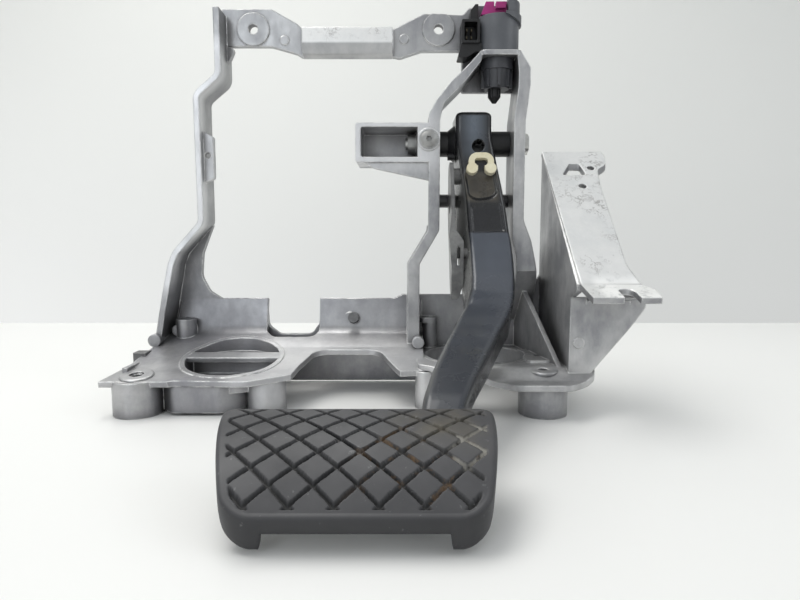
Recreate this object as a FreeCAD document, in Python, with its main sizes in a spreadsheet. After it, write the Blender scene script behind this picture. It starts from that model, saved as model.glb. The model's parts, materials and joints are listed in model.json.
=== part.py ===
"""Brake pedal in its cast bracket, millimetres.

X points to the accelerator side, Y to the rear, Z up from the bulkhead feet.
The origin lies midway between the two front bolt holes, in the plane of the feet.
The pieces are drawn from the axis of the servo hole, and their Placement brings
them to the origin. The pedal is pressed right down, with its pad on the floor.
"""
import FreeCAD, Part
import math
import os

V = FreeCAD.Vector
X_AXIS = FreeCAD.Rotation(V(0, 1, 0), 90)

# Driving dimensions
SIZES = {
    # pivot and ears
    "pivot_y": 38, "pivot_z": 218,
    "ear_left": -30, "ear_right": 33, "ear_wall": 9.5,
    "frame_front": 12, "frame_back": 48,
    # column and crossbar
    "column_wall": 5, "column_x": -237, "post_x": -217.5, "post_top": 334,
    "bar_z": 315, "bar_front": 34, "bar_wall": 6, "bar_bolt_left": -191.5, "bar_bolt_right": -30.5,
    "bar_hole_radius": 4.1,
    # base
    "deck_wall": 4.5, "back_wall_front": 43, "back_wall": 5, "back_wall_top": 79, "servo_wall_top": 83,
    "foot_front_y": -54, "foot_left_x": -266, "foot_right_x": 46, "foot_radius": 18.5,
    "foot_hole_radius": 4.5, "plate_front": 25,
    "servo_radius": 42, "servo_plate_z": 33, "servo_lip": 4,
    "cup_x": -203, "cup_y": -17, "cup_radius": 42, "cup_wall": 4,
    # pocket on the left ear
    "pocket_left": -102, "pocket_low": 199, "pocket_high": 232, "pocket_wall": 4.5,
    "nut_seat": -49,
    # carrier of the accelerator
    "carrier_x": 65, "carrier_wall": 4.5, "carrier_front": -54, "carrier_top": 211,
    "pedal_bolt_radius": 3.2, "pedal_pin_radius": 3.4,
    # switch
    "switch_x": 20, "switch_y": 29, "switch_plate_z": 287, "switch_plate_wall": 4,
    "switch_hole_radius": 10, "barrel_radius": 18, "barrel_length": 30, "neck_radius": 9.7,
    "collar_radius": 14, "collar_length": 24, "collar_ribs": 8,
    "plunger_x": 18, "plunger_radius": 5.5, "plunger_tip": 251.5, "plunger_length": 20,
    "cap_length": 12.5,
    # pivot parts
    "bolt_radius": 5, "sleeve_radius": 7.5, "bush_radius": 9.5, "bush_flange_radius": 11,
    "tube_radius": 12, "running_gap": 0.06, "washer_radius": 10, "washer_wall": 1.6,
    "nut_width": 16, "nut_height": 6.4, "bolt_head_width": 17, "bolt_head_height": 7,
    "cross_y": 40, "cross_z": 168, "cross_radius": 6, "cross_bore": 3.4,
    "screw_x": -39.5, "screw_radius": 7, "screw_head": 3.4, "screw_length": 16, "screw_shank": 2.9,
    # arm
    "arm_left": -16, "arm_right": 15, "arm_wall": 2.5, "head_front": 18, "head_top": 241.5,
    "arm_hole_radius": 5, "recess_z": 177, "recess_depth": 4,
    "link_wall": 3, "link_gap": 2.5, "clip_x": 4.5, "clip_z": 198,
    # pad
    "pad_left": -158, "pad_right": -14, "pad_front": -261, "pad_rear": -190, "pad_rear_z": 43,
    "pad_radius": 106, "pad_thick": 7, "pad_plate_wall": 3, "pad_pitch": 19.6, "groove_depth": 1.6, "groove_x": -82.5,
    "groove_width": 1.9, "pad_lobe": 11, "pad_strip": 8, "pad_taper": 20,
}

doc = FreeCAD.newDocument("BrakePedal")
sheet = doc.addObject("Spreadsheet::Sheet", "Sizes")
for row, (alias, value) in enumerate(SIZES.items(), start=1):
    sheet.set(f"A{row}", alias)
    sheet.set(f"B{row}", str(value))
    sheet.setAlias(f"B{row}", alias)
doc.recompute()


def size(alias):
    return float(sheet.get(alias))


# Outlines and plates

def rounded_wire(corners, place):
    """Closed wire through corners (a, b, radius); place turns a and b into a point."""
    count = len(corners)
    starts, mids, ends = [], [], []
    for i in range(count):
        a, b = corners[i][0], corners[i][1]
        radius = corners[i][2] if len(corners[i]) > 2 else 0
        here = V(a, b, 0)
        to_last = V(corners[i - 1][0] - a, corners[i - 1][1] - b, 0)
        to_next = V(corners[(i + 1) % count][0] - a, corners[(i + 1) % count][1] - b, 0)
        reach = 0.49 * min(to_last.Length, to_next.Length)
        to_last.normalize()
        to_next.normalize()
        half = to_last.getAngle(to_next) / 2
        if radius <= 0 or half > 1.55:
            starts.append(here)
            mids.append(None)
            ends.append(here)
            continue
        back = min(radius / math.tan(half), reach)
        radius = back * math.tan(half)
        bisector = (to_last + to_next).normalize()
        centre = here + bisector * (radius / math.sin(half))
        starts.append(here + to_last * back)
        mids.append(centre - bisector * radius)
        ends.append(here + to_next * back)
    edges = []
    for i in range(count):
        if mids[i] is not None:
            arc = [place(p.x, p.y) for p in (starts[i], mids[i], ends[i])]
            edges.append(Part.Arc(*arc).toShape())
        after = starts[(i + 1) % count]
        if ends[i].distanceToPoint(after) > 1e-6:
            edges.append(Part.makeLine(place(ends[i].x, ends[i].y), place(after.x, after.y)))
    return Part.Wire(edges)


def plate(corners, plane, low, high):
    """Outline of corners in a plane, from low to high along the third axis."""
    place, way = {
        "XZ": (lambda a, b: V(a, low, b), V(0, high - low, 0)),
        "YZ": (lambda a, b: V(low, a, b), V(high - low, 0, 0)),
        "XY": (lambda a, b: V(a, b, low), V(0, 0, high - low)),
    }[plane]
    return Part.Face(rounded_wire(corners, place)).extrude(way)


def strip(path, wall, radius):
    """Corners of a bent strip of even wall along an open path."""
    sides = ([], [])
    for i, (a, b) in enumerate(path):
        here = V(a, b, 0)
        before = (here - V(*path[i - 1], 0)).normalize() if i else None
        after = (V(*path[i + 1], 0) - here).normalize() if i + 1 < len(path) else None
        before, after = before or after, after or before
        normal = (V(-before.y, before.x, 0) + V(-after.y, after.x, 0)).normalize()
        reach = wall / 2 / normal.dot(V(-before.y, before.x, 0))
        turn = before.cross(after).z
        for side, sign in zip(sides, (1, -1)):
            inner = turn * sign > 0
            corner = here + normal * reach * sign
            bend = radius - wall / 2 if inner else radius + wall / 2
            side.append((corner.x, corner.y, bend if abs(turn) > 1e-6 else 0))
    return sides[0] + sides[1][::-1]


def pin(radius, x, y, low, high):
    return Part.makeCylinder(radius, high - low, V(x, y, low))


def rod_x(radius, y, z, low, high):
    return Part.makeCylinder(radius, high - low, V(low, y, z), V(1, 0, 0))


def rod_y(radius, x, z, low, high):
    return Part.makeCylinder(radius, high - low, V(x, low, z), V(0, 1, 0))


def joined(shapes):
    return shapes[0].multiFuse(shapes[1:]).removeSplitter()


def add_feature(label, shape):
    piece = doc.addObject("Part::Feature", label)
    piece.Label = label
    piece.Shape = shape
    return piece


def bind(piece, **cells):
    for prop, expression in cells.items():
        piece.setExpression(prop.replace("__", "."), expression)
    return piece


def cylinder_x(label, radius, start, length, y="Sizes.pivot_y", z="Sizes.pivot_z"):
    """Cylinder along X whose sizes follow the sheet."""
    piece = doc.addObject("Part::Cylinder", label)
    piece.Placement = FreeCAD.Placement(V(0, 0, 0), X_AXIS)
    return bind(piece, Radius=radius, Height=length, Placement__Base__x=start,
                Placement__Base__y=y, Placement__Base__z=z)


def cylinder_z(label, radius, x, y, low, length):
    """Upright cylinder whose sizes follow the sheet."""
    piece = doc.addObject("Part::Cylinder", label)
    return bind(piece, Radius=radius, Height=length, Placement__Base__x=x,
                Placement__Base__y=y, Placement__Base__z=low)


def cut(label, base, tool):
    piece = doc.addObject("Part::Cut", label)
    piece.Label = label
    piece.Base = base
    piece.Tool = tool
    return piece


def fuse(label, pieces):
    piece = doc.addObject("Part::MultiFuse", label)
    piece.Label = label
    piece.Shapes = pieces
    return piece


# Cast bracket: base

def deck_path():
    """Side view of the sloping deck, from its front edge to the top of the rear wall."""
    rear = size("back_wall_front") + size("back_wall") / 2
    top = size("back_wall_top")
    front = size("plate_front")
    return [(-66, front), (-38, front + 4), (6, front + 13), (rear - 9, top - 31), (rear, top)]


def base_deck():
    wall = size("deck_wall")
    left, right = -291, -44
    deck = plate(strip(deck_path(), wall, 14), "YZ", left, right)
    foot_x, foot_y = size("foot_left_x"), size("foot_front_y")
    outline = [(-282, -30, 12), (left, foot_y - 14, 8), (foot_x - 16, foot_y - 27, 8),
               (foot_x + 8, foot_y - 27, 16), (foot_x + 30, -64, 8), (-180, -66, 20), (-150, -52, 10),
               (right, -42, 0), (right, 50, 0), (-262, 50, 0), (-278, 20, 20)]
    deck = deck.common(plate(outline, "XY", 0, 120))
    arch = [(-151, -70, 0), (-146, -34, 14), (-136, 0, 14), (-82, 0, 14), (-70, -30, 14), (-52, -70, 0)]
    deck = deck.cut(plate(arch, "XY", 0, 120))
    notch = [(-186, 34, 0), (-186, 54, 0), (-138, 54, 0), (-138, 34, 0), (-143, 24, 8), (-178, 24, 8)]
    deck = deck.cut(plate(notch, "XY", 0, 120))
    cup = pin(size("cup_radius"), size("cup_x"), size("cup_y"), 0, 120)
    return deck.cut(cup)


def base_cup():
    """Round recess with its rim on the deck, a stepped floor and a bar across it."""
    x, y, radius, wall = size("cup_x"), size("cup_y"), size("cup_radius"), size("cup_wall")
    low = 16
    ring = pin(radius, x, y, low, 90).cut(pin(radius - wall, x, y, low, 90))
    side = [(a, b + 3) for a, b in deck_path()]
    under = plate([(-90, low)] + [(-90, side[0][1])] + side + [(60, side[-1][1]), (60, low)], "YZ",
                  x - radius - 5, x + radius + 5)
    ring = ring.common(under)
    floor = pin(radius - wall / 2, x, y, low, low + 4)
    inner = pin(radius - wall / 2, x, y, low, 60)
    ledge = plate([(x - radius, y + 10), (x + radius, y + 10), (x + radius, y + radius + 5),
                   (x - radius, y + radius + 5)], "XY", low, 34).common(inner)
    bar = plate(strip([(y - 2, 34), (y + 12, 36)], 4, 0), "YZ", x - radius, x + radius).common(inner)
    return joined([ring, floor, ledge, bar])


def base_feet():
    """Bosses that bolt to the bulkhead, with their skirts."""
    y, radius = size("foot_front_y"), size("foot_radius")
    left, right = size("foot_left_x"), size("foot_right_x")
    top = size("plate_front") + 2
    bosses = [pin(radius, left, y, 0, top), pin(radius, right, y, 0, top),
              pin(15, -169, -44, 0, top), pin(9, -43, -38, 0, 30), pin(9, -258, 30, 0, 62),
              pin(9, 58, 30, 0, size("servo_plate_z"))]
    skirt = plate(strip([(-252, -44), (-236, -61), (-200, -61), (-186, -46)], 4, 6), "XY", 2, top)
    left_wall = plate(strip([(left - 12, y + 5), (-278, -20), (-262, 40)], 4, 20), "XY", 3, 34)
    return bosses + [skirt, left_wall]


def base_wall():
    """Rear wall with its notch, the foot of the column and the saddle beside the carrier."""
    front, back = size("back_wall_front"), size("back_wall_front") + size("back_wall")
    top, servo_top = size("back_wall_top"), size("servo_wall_top")
    column = size("column_x")
    corners = [(column - 2, 150, 0), (column + 2, 146, 0), (-245, 121, 12), (-247, 100, 14),
               (-240, 86, 10), (-229, top, 8), (-198, top, 3), (-195, top - 4, 3), (-187, top - 4, 3),
               (-186, 54, 8), (-176, 46, 6), (-146, 46, 8), (-139, 56, 6), (-135, top - 5, 3),
               (-127, top - 4, 2), (-123, top, 2), (-70, top, 4), (-62, servo_top, 4),
               (34, servo_top, 6), (38, 98, 4), (54, 102, 2), (61, 94, 5), (67, 104, 2),
               (69, 104, 0), (69, 10, 0), (60, 2, 0), (-262, 2, 0), (-276, 12, 4), (-280, 48, 12),
               (-266, 110, 14), (-262, 122, 10)]
    wall = plate(corners, "XZ", front, back)
    pins = [rod_y(5, -110, 62, front - 4, front + 2), rod_y(5, -264, 52, 24, front + 2),
            rod_y(4.5, -48, 44, 6, front + 2)]
    return [wall] + pins


def servo_plate():
    """Flat plate round the servo hole, bent down to the front feet."""
    level, front = size("servo_plate_z"), size("plate_front")
    foot_x, foot_y = size("foot_right_x"), size("foot_front_y")
    radius, lip = size("servo_radius"), size("servo_lip")
    path = [(-80, front), (-64, front), (-48, level), (47, level)]
    sheet_metal = plate(strip(path, size("deck_wall"), 14), "YZ", -56, 92)
    outline = [(-50, -40, 6), (-30, -54, 8), (0, -60, 10), (foot_x - 24, foot_y - 24, 14),
               (foot_x + 16, foot_y - 24, 14), (foot_x + 40, foot_y - 2, 12), (foot_x + 41, -28, 8),
               (70, -18, 6), (70, 48, 0), (-50, 48, 0)]
    sheet_metal = sheet_metal.common(plate(outline, "XY", 0, 60))
    collar = pin(radius + lip, 0, 0, level - 12, level + 2.5)
    lug = plate([(38, -36, 4), (62, -36, 6), (62, 14, 4), (38, 14, 4)], "XY", level - 4, level + 4)
    rear_lug = plate([(-46, 30, 4), (-30, 30, 6), (-30, 46, 0), (-46, 46, 0)], "XY", 58, 63)
    rear_boss = pin(7, -37, 37, level, 60)
    shape = joined([sheet_metal, collar, lug, rear_lug, rear_boss])
    shape = shape.cut(pin(radius, 0, 0, 0, 60))
    shape = shape.cut(pin(3.3, 50.5, -13, 0, 60)).cut(pin(3.3, -37, 37, 40, 70))
    return shape


# Cast bracket: column, crossbar and ears

def column():
    """Bent plate on the left, standing on the foot of the rear wall."""
    front, back = size("frame_front"), size("frame_back")
    wall, x, post = size("column_wall"), size("column_x"), size("post_x")
    path = [(-278, 40), (-264, 112), (-260, 122), (x, 148), (x, 256), (post, 272),
            (post, size("post_top") - 8)]
    plate_shape = plate(strip(path, wall, 10), "XZ", front, back)
    slant = [(front - 2, 20), (front - 2, 60), (front + 4, 140), (front, 360), (back + 2, 360), (back + 2, 20)]
    plate_shape = plate_shape.common(plate(slant, "YZ", -300, -200))
    lug = plate([(x, 182, 0), (x + 11, 186, 3), (x + 11, 222, 3), (x, 228, 0)], "XZ",
                front + 10, front + 16)
    lug = lug.cut(rod_y(2.6, x + 6, 206, front, back))
    return [plate_shape, lug]


def crossbar():
    """Bar with a bolt pad at each end and a raised, machined middle."""
    front, wall, z = size("bar_front"), size("bar_wall"), size("bar_z")
    left, right, post = size("bar_bolt_left"), size("bar_bolt_right"), size("post_x")
    back = front + wall
    outline = [(post - 2, z - 14, 0), (post - 2, z + 17, 3), (left + 16, z + 17, 4),
               (left + 38, z + 5, 6), (left + 44, z - 1, 4), (right - 40, z, 4), (right - 34, z + 3, 4),
               (right - 13, z + 13, 4), (right + 21, z + 12, 3), (right + 26, z + 18, 3),
               (right + 32, z + 18, 2), (right + 32, z - 18, 2), (right - 15, z - 18, 6),
               (right - 34, z - 24, 6), (right - 38, z - 23, 4), (left + 42, z - 23, 4),
               (left + 37, z - 20, 6), (left + 15, z - 14, 6)]
    bar = plate(outline, "XZ", front, back)
    middle = plate([(front + 2, z - 25, 1), (front - 5, z - 22, 2), (front - 8, z - 13, 1.5),
                    (front - 5, z + 1, 1.5), (front + 2, z + 1, 0)], "YZ", left + 43, right - 40)
    blank = plate(outline, "XZ", front - 4, back)
    pads = [rod_y(14, x, z, front - 1.5, front + 1).common(blank) for x in (left, right)]
    marks = [rod_y(4, left + 27, z - 9, front - 0.8, front + 1),
             rod_y(4, right - 30, z - 8, front - 0.8, front + 1)]
    bar = joined([bar, middle] + pads + marks)
    for x in (left, right):
        bar = bar.cut(rod_y(size("bar_hole_radius"), x, z, front - 5, back + 5))
    flange = plate([(post + 1, z - 14, 0), (post + 10, z - 16, 3), (post + 6, 290, 4), (post, 284, 0)],
                   "XZ", front - 1, front + 4)
    neck = plate([(right + 21.2, 268, 0), (right + 36, 284, 0), (right + 36, 292, 0), (right + 32, z - 14, 0),
                  (right + 21.2, z - 14, 0)], "XZ", back - 3, size("frame_back"))
    return [bar, flange, neck]


def ears():
    """Two legs that carry the pivot and meet under the switch."""
    front, back = size("frame_front"), size("frame_back")
    wall, z = size("ear_wall"), size("pivot_z")
    left, right = size("ear_left"), size("ear_right")
    plate_z = size("switch_plate_z")
    top = plate_z + size("switch_plate_wall")
    left_leg = [(left - wall - 18, 34, 0), (left - 17, 34, 0), (left - 17, 112, 6), (left, 141, 8),
                (left, z + 16, 8), (left + 3, 248, 6), (-9.5, 265.5, 4), (4, plate_z - 5, 0),
                (5.6, plate_z + 2, 0), (4, top, 0), (-5, 281, 3), (-10, 276, 4), (-21, 266, 5),
                (left - 3, 251, 5), (left - wall, z + 21, 8), (left - wall, 142, 8),
                (left - wall - 18, 112, 6)]
    right_leg = [(right + 4, 60, 0), (right + 4, 118, 6), (right, 134, 6), (right, z + 18, 8),
                 (right + 3, 262, 4), (right + 3, 274, 4), (34.5, plate_z, 0), (34.5, top, 0), (37, top, 0),
                 (46, 277, 4), (46, 262, 6), (right + wall, z + 16, 8), (right + wall, 150, 8),
                 (right + wall + 7, 132, 8), (right + wall + 11, 114, 4), (56, 98, 2), (56, 60, 0)]
    legs = [plate(left_leg, "XZ", front, back), plate(right_leg, "XZ", front, back)]
    pivot_y = size("pivot_y")
    bosses = [rod_x(13, pivot_y, z, left - wall, left), rod_x(13, pivot_y, z, right, right + wall)]
    web = plate([(-10, 264, 3), (44, 264, 3), (46, 275, 0), (36, top, 0), (4, top, 0), (-10, 277, 0)],
                "XZ", back - 4, back)
    # the outside of each leg is hollowed behind its front flange
    legs[0] = legs[0].cut(plate([(front + 5, 146, 4), (back + 1, 146, 0), (back + 1, z - 22, 0),
                                 (front + 5, z - 22, 4)], "YZ", left - wall - 1, left - 4))
    legs[1] = legs[1].cut(plate([(front + 5, 142, 4), (back + 1, 142, 0), (back + 1, z - 18, 0),
                                 (front + 5, z - 18, 4)], "YZ", right + 4, right + wall + 2))
    legs[1] = legs[1].cut(plate([(front - 1, 108, 0), (back - 5, 58, 0), (front - 1, 58, 0)], "YZ", right, 60))
    return legs + bosses + [web]


def switch_seat():
    front, back = size("frame_front") - 2, size("frame_back")
    x, y, z = size("switch_x"), size("switch_y"), size("switch_plate_z")
    seat = plate([(4, front, 4), (36, front, 4), (37, back, 0), (4, back, 0)], "XY",
                 z, z + size("switch_plate_wall"))
    return seat.cut(pin(size("switch_hole_radius"), x, y, z - 5, z + 20))


def pocket():
    """Box on the outside of the left ear, which holds the nut of the pivot bolt."""
    front = size("frame_front")
    left, right = size("pocket_left"), size("ear_left") - 4
    low, high, wall = size("pocket_low"), size("pocket_high"), size("pocket_wall")
    seat = size("nut_seat")
    pivot_y = size("pivot_y")
    back = pivot_y + 16
    box = plate([(left, low, 2), (right, low, 0), (right, high, 0), (left, high, 2)], "XZ", front, back)
    hollow = plate([(left + wall, low + wall, 2), (seat, low + wall, 0), (seat, high - wall + 1, 0),
                    (left + wall, high - wall + 1, 2)], "XZ", front - 1, back - wall)
    rib = plate([(left + 5, low + 1, 0), (left + 16, low - 5, 2), (right, low - 16, 0), (right, low + 1, 0)],
                "XZ", front + 2, front + 8)
    screw_boss = rod_y(9.5, size("screw_x"), size("pivot_z"), front - 1, front + 12)
    return [box.cut(hollow), rib, screw_boss], hollow


# Cast bracket: carrier of the accelerator

def carrier():
    """Slanted machined plate on a side wall and a front wall, open to the right."""
    x, wall, front, top = size("carrier_x"), size("carrier_wall"), size("carrier_front"), size("carrier_top")
    back = size("back_wall_front") + 3
    level = size("servo_plate_z")
    side = [(back, top, 0), (back, level - 4, 0), (front, size("plate_front"), 0), (front, 90, 3),
            (front - 20, 97, 4)]
    side_wall = plate(side, "YZ", x, x + wall)
    slope_path = [(back + 2, top), (front - 20, 99), (front - 47, 92)]
    slope = plate(strip(slope_path, wall, 16), "YZ", x, 130)
    outline = [(x, back + 8, 0), (108, back + 8, 6), (121, back - 1, 9), (119, back - 13, 7),
               (109.5, back - 19, 5), (107, 10, 8), (104.5, -60, 12), (111, -78, 12), (116, -84, 6),
               (115.5, -92, 4), (113.5, -104, 2),
               (x + 2, -104, 4)]
    slope = slope.common(plate(outline, "XY", 60, 240))
    window = [(77, 21, 1), (98, 21, 2), (95, 33, 2), (86, 33, 1)]
    notch = [(88, -110, 0), (100, -110, 0), (100, -84, 5), (89, -84, 5)]
    slope = slope.cut(plate(window, "XY", 150, 240)).cut(plate(notch, "XY", 60, 120))
    run, rise = slope_path[0][0] - slope_path[1][0], slope_path[0][1] - slope_path[1][1]
    out = V(0, -rise, run).normalize()
    for hole_x, hole_y, radius in ((104, 30, size("pedal_bolt_radius")), (91.5, 11, size("pedal_pin_radius"))):
        centre = V(hole_x, hole_y, top - (slope_path[0][0] - hole_y) * rise / run)
        slope = slope.cut(Part.makeCylinder(radius, 20, centre - out * 10, out))
    front_wall = plate([(x, size("plate_front"), 0), (80, 29, 2), (112, 68, 2), (122, 82, 6), (122, 90, 0),
                        (x, 90, 0)], "XZ", front - 2, front + 2)
    shelf = plate(strip([(front, 84), (front - 1, 89), (front - 24, 93)], 4, 3), "YZ", x + 12, 110)
    mark = rod_y(4.2, 72, 55, front - 2.8, front)
    gusset = plate([(8, 98, 3), (-8, 92, 3), (-96, 29, 0), (-96, 22, 0), (8, 22, 0)], "YZ", -2, 2)
    gusset.rotate(V(0, 0, 0), V(0, 0, 1), 9.8)
    gusset.translate(V(45, 38, 0))
    heel = plate([(x - 8, -56, 4), (x + 20, -56, 6), (x + 20, back, 0), (x - 8, back, 0)], "XY",
                 size("plate_front") - 2, size("plate_front") + 2)
    return [side_wall, slope, front_wall, shelf, mark, gusset, heel]


def pedal_bracket():
    pocket_walls, pocket_hollow = pocket()
    solids = [base_deck(), base_cup(), servo_plate(), switch_seat()]
    solids += base_feet() + base_wall() + column() + crossbar() + ears() + carrier() + pocket_walls
    shape = solids[0]
    for solid in solids[1:]:
        shape = shape.fuse(solid)
    y, z = size("pivot_y"), size("pivot_z")
    shape = shape.cut(pocket_hollow)
    shape = shape.cut(rod_x(size("bolt_radius") + 0.15, y, z, size("nut_seat") - 20, 60))
    foot_y, hole = size("foot_front_y"), size("foot_hole_radius")
    shape = shape.cut(pin(hole, size("foot_left_x"), foot_y, -1, 60))
    shape = shape.cut(pin(hole, size("foot_right_x"), foot_y, -1, 60))
    cross_hole = rod_x(size("cross_bore") - 0.2, size("cross_y"), size("cross_z"), size("ear_right") - 1, 60)
    shape = shape.cut(cross_hole)
    screw = rod_y(size("screw_shank"), size("screw_x"), z, 0, size("frame_front") + size("screw_length"))
    shape = shape.cut(screw)
    servo = pin(size("servo_radius"), 0, 0, 0, 52)
    return shape.cut(servo).Solids[0]


# The casting is one piece. It is given as simple parts that share their cut faces: x from, to, z from, to
CASTING_PARTS = {
    "bracket_base_left": (-320, -153.5, -10, 92),
    "bracket_base_middle": (-153.5, -62, -10, 92),
    "bracket_servo_plate": (-62, 64.8, -10, 92),
    "bracket_carrier": (64.8, 200, -10, 400),
    "bracket_column": (-320, -207, 92, 400),
    "bracket_crossbar": (-207, -9.5, 284, 400),
    "bracket_left_leg": (-207, -9.5, 92, 284),
    "bracket_right_leg": (-9.5, 64.8, 92, 240),
    "bracket_head": (-9.5, 64.8, 240, 400),
}
casting = pedal_bracket()
for label, (left, right, low, high) in CASTING_PARTS.items():
    room = Part.makeBox(right - left, 400, high - low, V(left, -200, low))
    add_feature(label, casting.common(room))

# Pedal arm: a deep pressed channel, open to the rear

ARM_STATIONS = [
    # front face centre x, y, z, width, depth
    (1.5, 13, 208, 31.5, 36),
    (3.2, 9.6, 196, 31.5, 34),
    (6.5, 4.5, 178, 31.5, 29),
    (9.0, 0.2, 162, 32, 29),
    (10.6, -4, 146.5, 32.5, 29),
    (11.8, -12, 132, 33, 28),
    (12.0, -21, 118, 33, 27),
    (11.0, -31, 106, 33, 26),
    (8.2, -44.5, 94.5, 32.5, 24),
    (3.2, -61, 84, 32, 22),
    (-6.0, -85, 73.5, 30.5, 21),
    (-17.5, -113, 62.5, 28.5, 20),
    (-27.5, -141, 53, 26, 17),
    (-34.0, -166, 44.5, 24.5, 14),
    (-39.0, -184, 36.5, 23.5, 11),
    (-43.0, -200, 31, 22.5, 8),
    (-47.0, -215, 27.3, 21.5, 6),
    (-50.0, -228, 23.4, 20.5, 5),
]


def arm_section(index, inset, extra):
    """Rectangle across the arm with rounded front corners, drawn in by inset and deepened by extra."""
    x, y, z, width, depth = ARM_STATIONS[index]
    first = ARM_STATIONS[max(index - 1, 0)]
    last = ARM_STATIONS[min(index + 1, len(ARM_STATIONS) - 1)]
    along = V(last[0] - first[0], last[1] - first[1], last[2] - first[2]).normalize()
    across = V(1, 0, 0) - along * along.x
    across.normalize()
    inward = along.cross(across).normalize()
    if inward.y < 0:
        inward = inward * -1
    face = V(x, y, z) + inward * inset
    half = width / 2 - inset
    deep = depth - inset + extra
    radius = 4 - min(inset, 2.5)
    return Part.Face(rounded_wire([(-half, 0, radius), (half, 0, radius), (half, deep, 0), (-half, deep, 0)],
                                  lambda a, b: face + across * a + inward * b)).OuterWire


def arm_loft(inset, extra):
    wires = [arm_section(i, inset, extra) for i in range(len(ARM_STATIONS))]
    return Part.makeLoft(wires, True, True)


def arm_head(inset, extra):
    y, z = size("pivot_y"), size("pivot_z")
    front, top = size("head_front") + inset, size("head_top") - inset
    corners = [(front - 5.5, 205, 0), (front, z + 8, 12), (front + 1, top, 7 - inset), (y + 6, top, 12),
               (y + 20 + extra, z + 12, 10 if not extra else 0), (y + 20 + extra, z - 10, 8 if not extra else 0),
               (y + 10 + extra, 205, 0)]
    return plate(corners, "YZ", size("arm_left") + inset, size("arm_right") - inset)


def on_front(shape, z):
    """Shape drawn on the plane y = 0 round the point z = 0, laid on the front face of the arm at height z."""
    low, high = next(pair for pair in zip(ARM_STATIONS[1:], ARM_STATIONS) if pair[0][2] <= z)
    part = (z - low[2]) / (high[2] - low[2])
    lean = math.degrees(math.atan2(high[1] - low[1], high[2] - low[2]))
    shape.rotate(V(0, 0, 0), V(1, 0, 0), -lean)
    shape.translate(V(0, low[1] + part * (high[1] - low[1]), z))
    return shape


def arm_recess(margin):
    """Pressed recess in the front of the arm, below the clip, grown by margin."""
    low, high = -12 - margin, 12 + margin
    corners = [(-5.5 - margin, high, 2), (-4 - margin, 2, 6), (-0.5 - margin, low, 6), (17.5 + margin, low, 5),
               (16 + margin, 2, 4), (14.5 + margin, high, 2)]
    return on_front(plate(corners, "XZ", -20, size("recess_depth") + margin), size("recess_z"))


arm_solid = joined([arm_head(0, 0), arm_loft(0, 0)])


def pedal_arm():
    wall = size("arm_wall")
    inner = joined([arm_head(wall, 12), arm_loft(wall, 12)]).cut(arm_recess(wall))
    shape = arm_solid.cut(inner).cut(arm_recess(0))
    y, z = size("pivot_y"), size("pivot_z")
    shape = shape.cut(rod_x(size("tube_radius"), y, z, -60, 60))
    shape = shape.cut(rod_y(size("arm_hole_radius"), 3, z - 5, 0, y - size("tube_radius")))
    return shape


add_feature("pedal_arm", pedal_arm())


def link_plate():
    """Folded plate on the left of the arm, with the hole for the push rod of the servo."""
    x, wall = size("arm_left") - size("link_gap"), size("link_wall")
    y, z = size("pivot_y"), size("pivot_z")
    web = plate([(10, 200, 8), (27, 197, 8), (30, 158, 10), (2, 92, 12), (-11, 84, 0), (-14, 84, 0), (-14, 130, 0),
                 (-6, 168, 10)], "YZ", x - wall, x)
    web = web.cut(rod_x(5, y - 28, z - 58, x - 20, x + 20))
    flange = plate([(x - wall, 158, 0), (x - 5, 136, 2), (x - 2.5, 106, 4), (x - 1, 85, 2), (x + 1.5, 83, 2),
                    (x + 3.5, 86, 2), (x + 7, 98, 4), (x + 7, 132, 4), (x, 142, 3), (x, 158, 0)],
                   "XZ", -14, -14 + wall)
    slot = plate([(x + 1.5, 112, 1.2), (x + 4, 112, 1.2), (x + 4, 128, 1.2), (x + 1.5, 128, 1.2)], "XZ", -20, -6)
    spacers = [rod_x(7, y - 16, z - 30, x - 1, 0), rod_x(4.5, -5, 122, x - 1, 0)]
    return joined([web, flange] + spacers).cut(slot).cut(arm_solid).Solids[0]


add_feature("link_plate", link_plate())


# Pad

def pad_surface(drop):
    """Side view of the pad's top: an arc that is level at its rear edge, lowered by drop."""
    radius = size("pad_radius")
    centre = V(0, size("pad_rear"), size("pad_rear_z") - radius)
    reach = size("pad_rear") - size("pad_front")
    half = math.asin(reach / radius)
    points = [centre + V(0, -math.sin(angle), math.cos(angle)) * (radius - drop)
              for angle in (0, half / 2, half)]
    return points


def arc_band(upper, lower, left, right):
    """Band of the pad between two drops below its top, from left to right."""
    over, under = pad_surface(upper), pad_surface(lower)
    edges = [Part.Arc(*over).toShape(), Part.makeLine(over[2], under[2]),
             Part.Arc(*under[::-1]).toShape(), Part.makeLine(under[0], over[0])]
    face = Part.Face(Part.Wire(edges))
    face.translate(V(left, 0, 0))
    return face.extrude(V(right - left, 0, 0))


def lozenge_grooves():
    """Crossed slots over the top of the pad."""
    left, right = size("pad_left") + 5, size("pad_right") - 5
    front, rear = size("pad_front") + 4, size("pad_rear") - 2
    pitch, width = size("pad_pitch"), size("groove_width")
    span = right - left + rear - front
    slots = []
    count = int(span / pitch) + 1
    for step in range(-count, count + 1):
        for turn in (45, -45):
            slot = Part.makeBox(width, 2 * span, 60, V(-width / 2, -span, 0))
            slot.rotate(V(0, 0, 0), V(0, 0, 1), turn)
            slot.translate(V(size("groove_x") + step * pitch, (front + rear) / 2, 0))
            slots.append(slot)
    field = plate(pad_outline(5), "XY", 0, 60)
    return slots[0].multiFuse(slots[1:]).common(field)


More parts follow.
